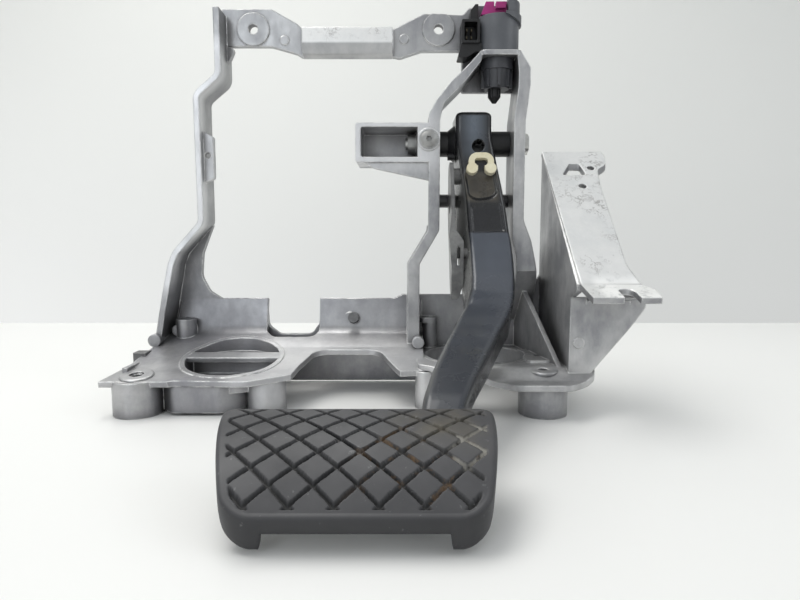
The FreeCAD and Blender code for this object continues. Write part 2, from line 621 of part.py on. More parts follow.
def pad_outline(inset):
    """Plan of the pad, wider at its rear, drawn in by inset."""
    left, right, taper = size("pad_left") + inset, size("pad_right") - inset, size("pad_taper")
    front, rear = size("pad_front") + inset, size("pad_rear") - inset
    return [(left, rear + 0.5, 7), (left + taper * 0.4, front + 36, 60), (left + taper, front - 0.5, 10),
            (right - taper, front - 0.5, 10), (right - taper * 0.4, front + 36, 60), (right, rear + 0.5, 7)]


def pad_rubber():
    left, right, thick = size("pad_left"), size("pad_right"), size("pad_thick")
    lobe, strip_height = size("pad_lobe"), size("pad_strip")
    front_edge = pad_surface(0)[2]
    body = arc_band(size("groove_depth"), thick, left, right)
    skin = arc_band(0, size("groove_depth") + 0.01, left, right).cut(lozenge_grooves())
    apron = plate([(front_edge.y, front_edge.z, 0), (front_edge.y + 5, front_edge.z + 1, 0),
                   (front_edge.y + 7, front_edge.z - strip_height, 0),
                   (front_edge.y + 2, front_edge.z - strip_height, 2)], "YZ", left, right)
    taper = size("pad_taper")
    lobes = []
    for side, edge in ((1, left + taper), (-1, right - taper)):
        lobes.append(plate([(edge - side * 2, front_edge.z - 4, 0), (edge + side * (lobe + 3), front_edge.z - 4, 0),
                            (edge + side * (lobe + 1), 0, 2), (edge + side * 3, 0, 4)], "XZ", -8, 0))
        lobes[-1].rotate(V(0, 0, front_edge.z), V(1, 0, 0), 25)
        lobes[-1].translate(V(0, front_edge.y + 9, 0))
    shape = joined([body, skin, apron] + lobes)
    return shape.common(plate(pad_outline(0), "XY", 0, 80)).cut(pad_plate_band())


def pad_plate_band():
    thick = size("pad_thick")
    band = arc_band(thick, thick + size("pad_plate_wall"), size("pad_left"), size("pad_right"))
    return band.common(plate(pad_outline(7), "XY", 0, 80))


def pad_plate():
    """Steel plate under the rubber, with the saddle that the arm is welded to."""
    thick = size("pad_thick")
    saddle = arc_band(thick + 1, thick + 10, -66, -29).common(Part.makeBox(60, 30, 60, V(-80, -231, 0)))
    return joined([pad_plate_band(), saddle]).cut(arm_solid).Solids[0]


add_feature("pad_rubber", pad_rubber())
add_feature("pad_plate", pad_plate())


def spring_clip():
    """Omega shaped nylon clip, pressed into the front of the arm."""
    path = [(-3, -6.5), (-8, -6), (-8.2, 5), (8.2, 5), (8, -6), (3, -6.5)]
    hoop = plate(strip(path, 5, 5), "XZ", -5, 0)
    feet = [rod_y(4.7, side * 7.8, -6.5, -5.6, 0) for side in (-1, 1)]
    clip = on_front(joined([hoop] + feet), size("clip_z"))
    clip.translate(V(size("clip_x"), 0, 0))
    return clip.cut(arm_solid)


add_feature("spring_clip", spring_clip())

# Pivot parts, along the pivot axis

sleeve = cut("spacer_sleeve",
             cylinder_x("sleeve_outer", "Sizes.sleeve_radius", "Sizes.ear_left",
                        "Sizes.ear_right - Sizes.ear_left"),
             cylinder_x("sleeve_bore", "Sizes.bolt_radius + 0.15", "Sizes.ear_left - 1",
                        "Sizes.ear_right - Sizes.ear_left + 2"))

tube = cut("pivot_tube",
           cylinder_x("tube_outer", "Sizes.tube_radius", "Sizes.arm_left",
                      "Sizes.arm_right - Sizes.arm_left"),
           cylinder_x("tube_bore", "Sizes.bush_radius", "Sizes.arm_left - 1",
                      "Sizes.arm_right - Sizes.arm_left + 2"))


def bush(label, outside, inside):
    """Plastic bush: a barrel in the tube and a flange between the arm and the ear."""
    y, z = size("pivot_y"), size("pivot_z")
    low, high = min(outside, inside), max(outside, inside)
    way = 1 if inside > outside else -1
    barrel = rod_x(size("bush_radius"), y, z, *sorted((inside, inside + way * 10)))
    flange = rod_x(size("bush_flange_radius"), y, z, low, high)
    pieces = [barrel, flange]
    if way > 0:
        cone = Part.makeCone(size("bush_flange_radius"), size("bush_flange_radius") + 5, 6,
                             V(high - 6, y, z), V(1, 0, 0))
        knob = rod_x(3.2, y - 8, z - 12, high - 6, high)
        pieces += [cone, knob]
    shape = joined(pieces)
    bore = rod_x(size("sleeve_radius") + size("running_gap"), y, z, low - 20, high + 20)
    return add_feature(label, shape.cut(bore))


bush("left_bush", size("ear_left") + 0.4, size("arm_left"))
bush("right_bush", size("ear_right") - 0.4, size("arm_right"))


def hexagon(label, width, low, high, y, z, bore):
    points = [V(low, y + width / math.sqrt(3) * math.cos(math.radians(60 * i + 30)),
                z + width / math.sqrt(3) * math.sin(math.radians(60 * i + 30))) for i in range(6)]
    prism = Part.Face(Part.makePolygon(points + points[:1])).extrude(V(high - low, 0, 0))
    ball = Part.makeCylinder(width / 2 * 1.08, high - low, V(low, y, z), V(1, 0, 0))
    prism = prism.common(ball)
    return prism.cut(rod_x(bore, y, z, low - 1, high + 1)) if bore else prism


def pivot_bolt():
    y, z, radius = size("pivot_y"), size("pivot_z"), size("bolt_radius")
    seat = size("ear_right") + size("ear_wall")
    end = size("nut_seat") - size("washer_wall") - size("nut_height") - 2
    head = hexagon("head", size("bolt_head_width"), seat + 1.5, seat + size("bolt_head_height"), y, z, 0)
    collar = rod_x(size("bolt_head_width") / 2 + 1.5, y, z, seat, seat + 1.5)
    shank = rod_x(radius, y, z, end, seat + 1)
    return joined([head, collar, shank])


add_feature("pivot_bolt", pivot_bolt())

washer = cut("pivot_washer",
             cylinder_x("washer_outer", "Sizes.washer_radius", "Sizes.nut_seat - Sizes.washer_wall",
                        "Sizes.washer_wall"),
             cylinder_x("washer_bore", "Sizes.bolt_radius + 0.3", "Sizes.nut_seat - 10", "20"))
nut_high = size("nut_seat") - size("washer_wall")
add_feature("pivot_nut", hexagon("nut", size("nut_width"), nut_high - size("nut_height"), nut_high,
                                 size("pivot_y"), size("pivot_z"), size("bolt_radius")))

cross = cut("cross_tube",
            cylinder_x("cross_outer", "Sizes.cross_radius", "Sizes.ear_left",
                       "Sizes.ear_right - Sizes.ear_left", "Sizes.cross_y", "Sizes.cross_z"),
            cylinder_x("cross_inner", "Sizes.cross_bore", "Sizes.ear_left - 1",
                       "Sizes.ear_right - Sizes.ear_left + 2", "Sizes.cross_y", "Sizes.cross_z"))


def cross_bolt():
    y, z = size("cross_y"), size("cross_z")
    low, seat = size("ear_left"), size("ear_right") + 4
    shank = rod_x(size("cross_bore") - 0.2, y, z, low + 1, seat + 0.5)
    head = hexagon("cross_head", 10, seat, seat + 4.5, y, z, 0)
    return joined([shank, head])


add_feature("cross_tube_bolt", cross_bolt())


def torx_screw():
    x, z, front = size("screw_x"), size("pivot_z"), size("frame_front") - 1
    radius, head = size("screw_radius"), size("screw_head")
    ball = Part.makeSphere(radius * 1.6, V(x, front + radius * 1.6 - head, z))
    cap = rod_y(radius, x, z, front - head, front).common(ball)
    washer_face = rod_y(radius + 0.9, x, z, front - 0.9, front)
    shank = rod_y(size("screw_shank"), x, z, front - 0.5, size("frame_front") + size("screw_length"))
    star = [rod_y(0.8, x + 1.7 * math.cos(math.radians(60 * i)), z + 1.7 * math.sin(math.radians(60 * i)),
                  front - head - 1, front - 1) for i in range(6)]
    star.append(rod_y(1.5, x, z, front - head - 1, front - 1))
    return joined([cap, washer_face, shank]).cut(joined(star))


add_feature("torx_screw", torx_screw())

# Brake light switch

switch_top = size("switch_plate_z") + size("switch_plate_wall")

barrel = cylinder_z("switch_barrel", "Sizes.barrel_radius", "Sizes.switch_x", "Sizes.switch_y",
                    "Sizes.switch_plate_z + Sizes.switch_plate_wall", "Sizes.barrel_length")
neck = cylinder_z("switch_neck", "Sizes.neck_radius", "Sizes.switch_x", "Sizes.switch_y",
                  "Sizes.switch_plate_z - 2", "Sizes.switch_plate_wall + 4")
bore = cylinder_z("switch_bore", "Sizes.plunger_radius + 0.3", "Sizes.plunger_x", "Sizes.switch_y",
                  "Sizes.switch_plate_z - 5", "20")
cut("switch_body", fuse("switch_solid", [barrel, neck]), bore)


def switch_cap():
    x, y, radius = size("switch_x"), size("switch_y"), size("barrel_radius")
    low = switch_top + size("barrel_length")
    high = low + size("cap_length")
    cap = Part.makeCylinder(radius + 0.5, high - low, V(x, y, low))
    cap = cap.makeFillet(1.2, [edge for edge in cap.Edges if edge.BoundBox.ZMin > high - 0.1])
    seat = Part.makeBox(2 * radius, 2 * radius, high - low + 2, V(x + 6 - 2 * radius, y + 2 - 2 * radius, low))
    skirt = Part.makeCylinder(radius + 2, 8, V(x, y, low - 7)).cut(Part.makeCylinder(radius, 8, V(x, y, low - 7)))
    wedge = plate([(x + 4, low - 1, 0), (x + radius + 4, low - 7, 0), (x + radius + 4, low + 3, 0),
                   (x + 4, low + 3, 0)], "XZ", y - radius - 4, y + radius + 4)
    return joined([cap.cut(seat), skirt.common(wedge)])


add_feature("switch_cap", switch_cap())


def switch_lock():
    """Locking slider, in the recess of the cap."""
    x, y, radius = size("switch_x"), size("switch_y"), size("barrel_radius")
    low = switch_top + size("barrel_length") + 0.3
    high = low + size("cap_length") - 2
    block = [(x - radius + 2, low, 1), (x + 5.6, low, 1), (x + 5.6, high, 1), (x + 1, high, 1),
             (x + 1, high - 5, 1), (x - 5, high - 5, 1), (x - 5, high, 1), (x - radius + 6, high, 1)]
    shape = plate(block, "XZ", y - 12, y + 1.6)
    finger = Part.makeBox(8, 5, 5, V(x - 4, y - 16, low + 4))
    return joined([shape, finger])


add_feature("switch_lock", switch_lock())


def connector_shell():
    """Plug housing on the left of the switch, open to the front."""
    x = size("switch_x") - size("barrel_radius")
    y, low = size("switch_y"), switch_top
    back = size("bar_front") - 0.5
    shell = plate([(x - 14, low + 7, 1), (x + 1, low + 7, 0), (x + 1, low + 26, 0), (x - 14, low + 26, 1)],
                  "XZ", y - 14, back)
    hollow = plate([(x - 12, low + 9, 1), (x - 1, low + 9, 1), (x - 1, low + 24, 1), (x - 12, low + 24, 1)],
                   "XZ", y - 15, y - 1)
    under = plate([(x - 17, low - 4, 1), (x - 9, low - 4, 1), (x - 2, low + 0.4, 0), (x + 3, low + 0.4, 0),
                   (x + 3, low + 7.2, 0), (x - 14, low + 7.2, 0)], "XZ", y - 12, back)
    fin = plate([(x - 6, low + 25.5, 0), (x + 1, low + 25.5, 0), (x + 1, low + 41, 1), (x - 2, low + 41, 1),
                 (x - 6, low + 36, 1)], "XZ", y - 6, back)
    barrel_space = Part.makeCylinder(size("barrel_radius"), 80, V(size("switch_x"), y, low - 20))
    cap_space = Part.makeCylinder(size("barrel_radius") + 0.5, 80,
                                  V(size("switch_x"), y, low + size("barrel_length")))
    shape = joined([shell, under, fin]).cut(hollow)
    return shape.cut(barrel_space).cut(cap_space)


add_feature("connector_shell", connector_shell())


def connector_pins():
    x = size("switch_x") - size("barrel_radius")
    y, low = size("switch_y"), switch_top
    pins = [Part.makeBox(0.8, 10, 2.2, V(x - 10 + 4 * column, y - 11, low + 11 + 6 * row))
            for column in range(2) for row in range(2)]
    return Part.makeCompound(pins)


add_feature("connector_pins", connector_pins())


def switch_collar():
    """Ribbed clamp ring under the switch plate, with a guide for the plunger."""
    x, y, radius = size("switch_x"), size("switch_y"), size("collar_radius")
    high = size("switch_plate_z")
    low = high - size("collar_length")
    top = Part.makeCylinder(radius, 9, V(x, y, high - 9))
    lower = Part.makeCone(radius - 3.5, radius - 1.5, size("collar_length") - 9, V(x, y, low))
    ribs = []
    for index in range(int(size("collar_ribs"))):
        rib = Part.makeBox(3, 2.4, size("collar_length") - 4, V(radius - 3.6, -1.2, 0))
        rib.rotate(V(0, 0, 0), V(0, 0, 1), 360 * index / size("collar_ribs"))
        rib.translate(V(x, y, low + 1))
        ribs.append(rib)
    shape = joined([top, lower] + ribs)
    shape = shape.cut(Part.makeCylinder(size("neck_radius") + 0.1, 4, V(x, y, high - 2)))
    guide = Part.makeCylinder(size("plunger_radius") + 0.3, size("collar_length") + 2,
                              V(size("plunger_x"), y, low - 1))
    return shape.cut(guide)


add_feature("switch_collar", switch_collar())


def switch_plunger():
    """Fluted plunger with a pointed tip."""
    x, y, radius, tip = size("plunger_x"), size("switch_y"), size("plunger_radius"), size("plunger_tip")
    length = size("plunger_length")
    flutes = []
    stem = Part.makeCylinder(radius, length - 5, V(x, y, tip + 5))
    nose = Part.makeCone(1.8, radius, 5, V(x, y, tip))
    for index in range(6):
        angle = math.radians(60 * index)
        flutes.append(Part.makeCylinder(1.1, length, V(x + (radius + 0.3) * math.cos(angle),
                                                       y + (radius + 0.3) * math.sin(angle), tip - 1)))
    return joined([stem, nose]).cut(joined(flutes))


add_feature("switch_plunger", switch_plunger())

NODES = list(CASTING_PARTS) + ["pedal_arm", "link_plate", "pad_rubber", "pad_plate", "spring_clip",
         "spacer_sleeve", "pivot_tube", "left_bush", "right_bush", "pivot_bolt", "pivot_washer",
         "pivot_nut", "cross_tube", "cross_tube_bolt", "torx_screw", "switch_body", "switch_cap",
         "switch_lock", "connector_shell", "connector_pins", "switch_collar", "switch_plunger"]

doc.recompute()
to_origin = V(-(size("foot_left_x") + size("foot_right_x")) / 2, -size("foot_front_y"), 0)
for label in NODES:
    piece = doc.getObjectsByLabel(label)[0]
    piece.Placement = FreeCAD.Placement(to_origin, FreeCAD.Rotation()).multiply(piece.Placement)
doc.recompute()
for piece in doc.Objects:
    if {"Invalid", "Error"} & set(piece.State):
        raise RuntimeError(f"{piece.Label} failed to build")
os.makedirs("parts", exist_ok=True)
shapes = {}
for label in NODES:
    shape = doc.getObjectsByLabel(label)[0].Shape
    if shape.isNull() or not shape.isValid() or not shape.Solids:
        raise RuntimeError(f"{label} has no valid solid")
    shapes[label] = shape
for label, shape in shapes.items():
    shape.exportStep(f"parts/{label}.step")
    box = shape.BoundBox
    print(label, len(shape.Solids), round(shape.Volume), [round(v, 1) for v in (
        box.XMin, box.YMin, box.ZMin, box.XMax, box.YMax, box.ZMax)])
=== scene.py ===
"""Looks of a brake pedal in its cast bracket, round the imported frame, in metres."""
import json
import math

import bpy
import numpy as np
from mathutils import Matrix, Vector


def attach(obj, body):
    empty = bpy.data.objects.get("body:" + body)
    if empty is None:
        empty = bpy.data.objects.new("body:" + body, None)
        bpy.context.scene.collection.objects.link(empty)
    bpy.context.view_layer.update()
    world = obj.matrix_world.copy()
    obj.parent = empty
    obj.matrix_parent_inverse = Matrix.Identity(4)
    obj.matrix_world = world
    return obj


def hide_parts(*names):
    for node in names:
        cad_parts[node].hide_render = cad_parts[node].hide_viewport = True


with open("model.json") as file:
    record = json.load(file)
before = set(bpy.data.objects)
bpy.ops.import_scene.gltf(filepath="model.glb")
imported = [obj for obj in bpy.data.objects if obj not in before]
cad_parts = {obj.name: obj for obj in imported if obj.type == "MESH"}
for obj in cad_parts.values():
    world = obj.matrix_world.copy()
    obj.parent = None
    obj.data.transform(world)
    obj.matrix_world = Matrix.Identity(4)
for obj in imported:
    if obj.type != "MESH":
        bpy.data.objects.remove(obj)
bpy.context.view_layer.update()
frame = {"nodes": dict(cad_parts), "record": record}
MM = 0.001

# Working datum: the axis of the servo hole, from which the pieces are drawn, in the frame's millimetres
SERVO = np.array([110.0, 54.0, 0.0])


def metres(points):
    """Points in millimetres from the servo axis, as metres in the frame."""
    return (np.asarray(points, float) + SERVO) * MM


# Shader groups

def new_group(name, inputs, outputs):
    """Empty node group with named sockets: (name, type, default)."""
    group = bpy.data.node_groups.new(name, "ShaderNodeTree")
    for label, kind, default in inputs:
        socket = group.interface.new_socket(label, in_out="INPUT", socket_type=kind)
        if default is not None:
            socket.default_value = default
    for label, kind in outputs:
        group.interface.new_socket(label, in_out="OUTPUT", socket_type=kind)
    start, end = group.nodes.new("NodeGroupInput"), group.nodes.new("NodeGroupOutput")
    return group, start, end


def node(tree, kind, **settings):
    """New node of a kind, with its settings."""
    made = tree.nodes.new(kind)
    for key, value in settings.items():
        setattr(made, key, value)
    return made


def math_node(tree, operation, first, second=None, third=None):
    """Math node whose inputs are sockets or numbers."""
    made = node(tree, "ShaderNodeMath", operation=operation)
    for index, value in enumerate((first, second, third)):
        if value is None:
            continue
        if isinstance(value, (int, float)):
            made.inputs[index].default_value = value
        else:
            tree.links.new(value, made.inputs[index])
    return made.outputs[0]


def noise(tree, coords, scale, detail=4.0, roughness=0.55, stretch=None, offset=None):
    """Noise on object coordinates, in turns per metre, stretched along the axes if asked."""
    if stretch or offset:
        mapping = node(tree, "ShaderNodeMapping")
        tree.links.new(coords, mapping.inputs["Vector"])
        if stretch:
            mapping.inputs["Scale"].default_value = stretch
        if offset:
            mapping.inputs["Location"].default_value = offset
        coords = mapping.outputs[0]
    made = node(tree, "ShaderNodeTexNoise")
    if isinstance(scale, (int, float)):
        made.inputs["Scale"].default_value = scale
    else:
        tree.links.new(scale, made.inputs["Scale"])
    made.inputs["Detail"].default_value = detail
    made.inputs["Roughness"].default_value = roughness
    tree.links.new(coords, made.inputs["Vector"])
    return made.outputs["Fac"]


def span(tree, value, low, high, start=0.0, end=1.0):
    """Value between low and high, carried over to start and end."""
    made = node(tree, "ShaderNodeMapRange", clamp=True)
    tree.links.new(value, made.inputs["Value"])
    for label, number in (("From Min", low), ("From Max", high), ("To Min", start), ("To Max", end)):
        made.inputs[label].default_value = number
    return made.outputs["Result"]


def mix_colour(tree, mask, first, second):
    """First colour where the mask is 0, second where it is 1; each is a socket or a tone."""
    made = node(tree, "ShaderNodeMix", data_type="RGBA")
    tree.links.new(mask, made.inputs["Factor"])
    for socket, value in ((made.inputs["A"], first), (made.inputs["B"], second)):
        if isinstance(value, (tuple, list)):
            socket.default_value = (*value[:3], 1.0)
        else:
            tree.links.new(value, socket)
    return made.outputs["Result"]


def tint(tree, colour, tone, mask, amount=1.0):
    """Colour turned towards a tone by an amount, where the mask holds."""
    if amount != 1.0:
        mask = math_node(tree, "MULTIPLY", mask, amount)
    return mix_colour(tree, mask, colour, tone)


def overlap(tree, mask, *others):
    """Mask of the places where all the masks hold."""
    for other in others:
        mask = math_node(tree, "MULTIPLY", mask, other)
    return mask


def lean(tree, vector, direction):
    """How far a vector leans along a direction: their dot product."""
    dot = node(tree, "ShaderNodeVectorMath", operation="DOT_PRODUCT")
    tree.links.new(vector, dot.inputs[0])
    dot.inputs[1].default_value = direction
    return dot.outputs["Value"]


def object_coords(tree):
    """Object coordinates, so that a pattern moves with its piece."""
    return node(tree, "ShaderNodeTexCoord").outputs["Object"]


def split(tree, vector):
    """X, Y and Z of a vector."""
    separate = node(tree, "ShaderNodeSeparateXYZ")
    tree.links.new(vector, separate.inputs[0])
    return separate.outputs


def edge_group():
    """Mask of outer edges, for wear and for painted edge highlights: where a rounded normal turns away from the true
    one.
    """
    group, start, end = new_group("edge_wear_and_highlight", [("Reach", "NodeSocketFloat", 0.0012),
                                                ("Break Up", "NodeSocketFloat", 60.0)],
                                  [("Mask", "NodeSocketFloat"), ("Normal", "NodeSocketVector")])
    bevel = node(group, "ShaderNodeBevel", samples=4)
    group.links.new(start.outputs["Reach"], bevel.inputs["Radius"])
    geometry = node(group, "ShaderNodeNewGeometry")
    dot = node(group, "ShaderNodeVectorMath", operation="DOT_PRODUCT")
    group.links.new(bevel.outputs[0], dot.inputs[0])
    group.links.new(geometry.outputs["Normal"], dot.inputs[1])
    turned = span(group, dot.outputs["Value"], 0.985, 0.86)
    patches = noise(group, object_coords(group), start.outputs["Break Up"], 5.0, 0.65)
    mask = math_node(group, "MULTIPLY", turned, span(group, patches, 0.38, 0.55))
    group.links.new(mask, end.inputs["Mask"])
    group.links.new(bevel.outputs[0], end.inputs["Normal"])
    return group


def mottle_group():
    """Soft patches and fine grain, for a tone that changes over the surface."""
    group, start, end = new_group("mottle", [("Patch Scale", "NodeSocketFloat", 18.0),
                                             ("Grain Scale", "NodeSocketFloat", 900.0)],
                                  [("Patches", "NodeSocketFloat"), ("Grain", "NodeSocketFloat")])
    coords = object_coords(group)
    patches = noise(group, coords, start.outputs["Patch Scale"], 6.0, 0.6)
    grain = noise(group, coords, start.outputs["Grain Scale"], 3.0, 0.6)
    group.links.new(span(group, patches, 0.32, 0.68), end.inputs["Patches"])
    group.links.new(grain, end.inputs["Grain"])
    return group


EDGE = edge_group()
MOTTLE = mottle_group()


def use_group(tree, group, **values):
    """Node that runs a group; an underscore in a value's name stands for the space in its socket's."""
    made = node(tree, "ShaderNodeGroup", node_tree=group)
    for label, value in values.items():
        made.inputs[label.replace("_", " ")].default_value = value
    return made


def new_material(name, metallic=0.0, roughness=0.5, specular=0.5, coat=0.0):
    """Material, its node tree and its Principled shader."""
    material = bpy.data.materials.new(name)
    material.use_nodes = True
    shader = material.node_tree.nodes["Principled BSDF"]
    shader.inputs["Metallic"].default_value = metallic
    shader.inputs["Roughness"].default_value = roughness
    shader.inputs["Specular IOR Level"].default_value = specular
    shader.inputs["Coat Weight"].default_value = coat
    return material, material.node_tree, shader


def bump(tree, height, strength, distance, normal=None):
    """Normal roughened by a height, over another normal if one is given."""
    made = node(tree, "ShaderNodeBump")
    made.inputs["Strength"].default_value = strength
    made.inputs["Distance"].default_value = distance
    tree.links.new(height, made.inputs["Height"])
    if normal is not None:
        tree.links.new(normal, made.inputs["Normal"])
    return made.outputs[0]


def finish_material(name, base, dark, light=None, metallic=0.0, roughness=(0.4, 0.55), patch=18.0, grain=900.0,
                    grain_depth=0.00004, edge_reach=0.0006, edge_amount=0.5, specular=0.5, coat=0.0):
    """Mottled finish between two tones, grained, with rounded and worn edges."""
    material, tree, shader = new_material(name, metallic, 0.5, specular, coat)
    mottle = use_group(tree, MOTTLE, Patch_Scale=patch, Grain_Scale=grain)
    edge = use_group(tree, EDGE, Reach=edge_reach, Break_Up=90.0)
    colour = mix_colour(tree, mottle.outputs["Patches"], dark, base)
    if light is not None:
        colour = tint(tree, colour, light, edge.outputs["Mask"], edge_amount)
    tree.links.new(colour, shader.inputs["Base Color"])
    rough = span(tree, mottle.outputs["Patches"], 0.0, 1.0, roughness[1], roughness[0])
    tree.links.new(rough, shader.inputs["Roughness"])
    tree.links.new(bump(tree, mottle.outputs["Grain"], 0.6, grain_depth, edge.outputs["Normal"]),
                   shader.inputs["Normal"])
    return material


# Materials

FORWARD = (0, -1, 0)


def facing(tree, direction, low=0.96, high=0.985):
    """Mask of the faces that look along a direction."""
    normal = node(tree, "ShaderNodeNewGeometry").outputs["True Normal"]
    return span(tree, lean(tree, normal, direction), low, high)


def region(tree, coords, low, high, soft=0.001):
    """Mask of a box in object coordinates, in metres; None leaves a side open."""
    axes = split(tree, coords)
    sides = []
    for axis in range(3):
        for bound, sign in ((low[axis], 1), (high[axis], -1)):
            if bound is not None:
                sides.append(span(tree, axes[axis], bound - sign * soft, bound + sign * soft))
    return overlap(tree, *sides)


def cast_group():
    """Die-cast skin: patches, flow marks, cold lines and stains, as a tone from 0 dark to 1 bright, and a height."""
    labels = ("Tone", "Stain", "Veins", "Height")
    group, _, end = new_group("cast_skin", [], [(label, "NodeSocketFloat") for label in labels])
    coords = object_coords(group)
    broad = noise(group, coords, 16.0, 5.0, 0.6)
    flow = noise(group, coords, 42.0, 6.0, 0.65, stretch=(1.0, 1.0, 0.45), offset=(0.2, 0.5, 0.1))
    fine = noise(group, coords, 420.0, 3.0, 0.6)
    tone = math_node(group, "MULTIPLY_ADD", broad, 0.55, math_node(group, "MULTIPLY", flow, 0.45))
    group.links.new(span(group, tone, 0.40, 0.61), end.inputs["Tone"])
    stain = noise(group, coords, 7.5, 6.0, 0.68, offset=(0.3, 0.1, 0.7))
    group.links.new(span(group, stain, 0.52, 0.7), end.inputs["Stain"])
    veins = []
    for scale, width, place in ((26.0, 0.015, (0.0, 0.0, 0.0)), (62.0, 0.018, (0.4, 0.2, 0.9))):
        field = noise(group, coords, scale, 4.0, 0.7, offset=place)
        line = math_node(group, "ABSOLUTE", math_node(group, "SUBTRACT", field, 0.5))
        veins.append(span(group, line, 0.0, width, 1.0, 0.0))
    broken = span(group, noise(group, coords, 22.0, 3.0, 0.6, offset=(0.8, 0.1, 0.3)), 0.48, 0.6)
    group.links.new(overlap(group, math_node(group, "MAXIMUM", *veins), broken), end.inputs["Veins"])
    group.links.new(math_node(group, "MULTIPLY_ADD", fine, 0.12, flow), end.inputs["Height"])
    return group


CAST_SKIN = cast_group()
CARRIER_FACE, CARRIER_LIP = (0, -0.676, 0.737), (0, -0.25, 0.968)
CAST_TONES = {
    "dark": (0.31, 0.313, 0.328), "light": (0.58, 0.58, 0.58), "stain": (0.20, 0.195, 0.20),
    "base": (0.22, 0.217, 0.235), "rear": (0.22, 0.222, 0.232), "pale": (0.88, 0.88, 0.89),
    "grime": (0.105, 0.102, 0.105), "milled dark": (0.70, 0.71, 0.71), "milled light": (0.86, 0.86, 0.85),
    "vein": (0.22, 0.20, 0.19), "glare": (0.98, 0.98, 0.97), "edge": (0.93, 0.93, 0.92)}
# Boxes in the frame: lowest corner, highest corner and softness, in metres
CAST_BOXES = {
    "base": ((None, None, None), (0.055, None, 0.086), 0.008),
    "rear": ((None, 0.080, 0.040), (None, None, None), 0.004),
    "column": ((None, None, 0.090), (-0.085, 0.080, 0.300), 0.006),
    "pocket": ((-0.02, None, 0.195), (0.075, 0.100, 0.250), 0.006),
    "deck": ((-0.085, None, None), (0.09, 0.070, 0.060), 0.006),
    "carrier": ((0.172, None, 0.08), (None, None, None), 0.001),
    "bar": ((-0.0385, None, 0.302), (0.0395, None, 0.3165), 0.001),
    "lip": ((0.186, None, 0.0905), (None, None, 0.106), 0.003)}
# Amounts by which the casting is paler
# Amounts of painted light: how much paler the casting is painted on its column, pocket and deck, as where light falls
# on them
PAINTED_LIGHT = {"column": 0.5, "pocket": 0.45, "deck": 0.3}


def cast_material():
    """Die-cast aluminium: grey skin with flow marks and dull stains, bright edges that are partly handled wear and
    partly a painted highlight, painted shade in its corners and on its rear wall, painted light on its column, pocket
    and deck, and a painted glare on the carrier's lip.

    The carrier's face and lip and the front of the crossbar are milled, and brighter."""
    material, tree, shader = new_material("cast_aluminium", 0.8, 0.5)
    coords = object_coords(tree)
    box = {name: region(tree, coords, *corners) for name, corners in CAST_BOXES.items()}
    skin = use_group(tree, CAST_SKIN)
    edge = use_group(tree, EDGE, Reach=0.0017, Break_Up=70.0)
    colour = mix_colour(tree, skin.outputs["Tone"], CAST_TONES["dark"], CAST_TONES["light"])
    colour = tint(tree, colour, CAST_TONES["stain"], skin.outputs["Stain"], 0.5)
    patches = span(tree, noise(tree, coords, 19.0, 6.0, 0.7, offset=(0.6, 0.9, 0.2)), 0.36, 0.6, 0.35, 1.0)
    colour = tint(tree, colour, CAST_TONES["base"], overlap(tree, box["base"], patches), 0.6)
    # Painted shade: the rear wall darker
    colour = tint(tree, colour, CAST_TONES["rear"], box["rear"], 0.35)
    # Painted light: the column, the pocket and the deck paler
    for name, amount in PAINTED_LIGHT.items():
        colour = tint(tree, colour, CAST_TONES["pale"], box[name], amount)
    # Painted shade: darker in the corners and hollows that ambient occlusion finds
    corner = node(tree, "ShaderNodeAmbientOcclusion", samples=4)
    corner.inputs["Distance"].default_value = 0.016
    colour = tint(tree, colour, CAST_TONES["grime"], span(tree, corner.outputs["AO"], 0.35, 0.85, 0.75, 0.0))
    carrier = math_node(tree, "MAXIMUM", facing(tree, CARRIER_FACE), facing(tree, CARRIER_LIP))
    milled = math_node(tree, "MAXIMUM", overlap(tree, carrier, box["carrier"]),
                       overlap(tree, facing(tree, FORWARD, 0.9, 0.97), box["bar"]))
    bright = mix_colour(tree, skin.outputs["Tone"], CAST_TONES["milled dark"], CAST_TONES["milled light"])
    bright = tint(tree, bright, CAST_TONES["vein"], skin.outputs["Veins"], 0.75)
    glints = span(tree, noise(tree, coords, 85.0, 5.0, 0.7), 0.42, 0.50)
    bright = tint(tree, bright, CAST_TONES["glare"], overlap(tree, box["lip"], glints))
    colour = tint(tree, colour, bright, milled)
    # Bright edges: partly handled wear, partly a painted highlight along them
    colour = tint(tree, colour, CAST_TONES["edge"], edge.outputs["Mask"], 0.95)
    tree.links.new(colour, shader.inputs["Base Color"])
    tree.links.new(span(tree, skin.outputs["Tone"], 0.0, 1.0, 0.52, 0.34), shader.inputs["Roughness"])
    tree.links.new(bump(tree, skin.outputs["Height"], 0.55, 0.0007, edge.outputs["Normal"]),
                   shader.inputs["Normal"])
    return material


ARM_TONES = {
    "dark": (0.009, 0.0095, 0.011), "light": (0.016, 0.0165, 0.019), "head": (0.115, 0.137, 0.168),
    "panel": (0.066, 0.076, 0.096), "side": (0.20, 0.20, 0.195), "dirt": (0.085, 0.074, 0.055),
    "edge": (0.17, 0.175, 0.18), "hole": (0.002, 0.002, 0.002)}
ARM_BOXES = {
    "head": ((0.1015, None, 0.203), (0.1165, None, None), 0.006),
    "panel": ((None, None, None), (None, None, 0.1392), 0.0008),
    "side": ((None, None, 0.085), (None, None, 0.205), 0.01),
    "hollow": ((0.100, None, 0.1655), (0.1285, None, 0.190), 0.002),
    "hole": ((0.1070, 0.0730, 0.2070), (0.1190, 0.083, 0.2190), 0.0003)}


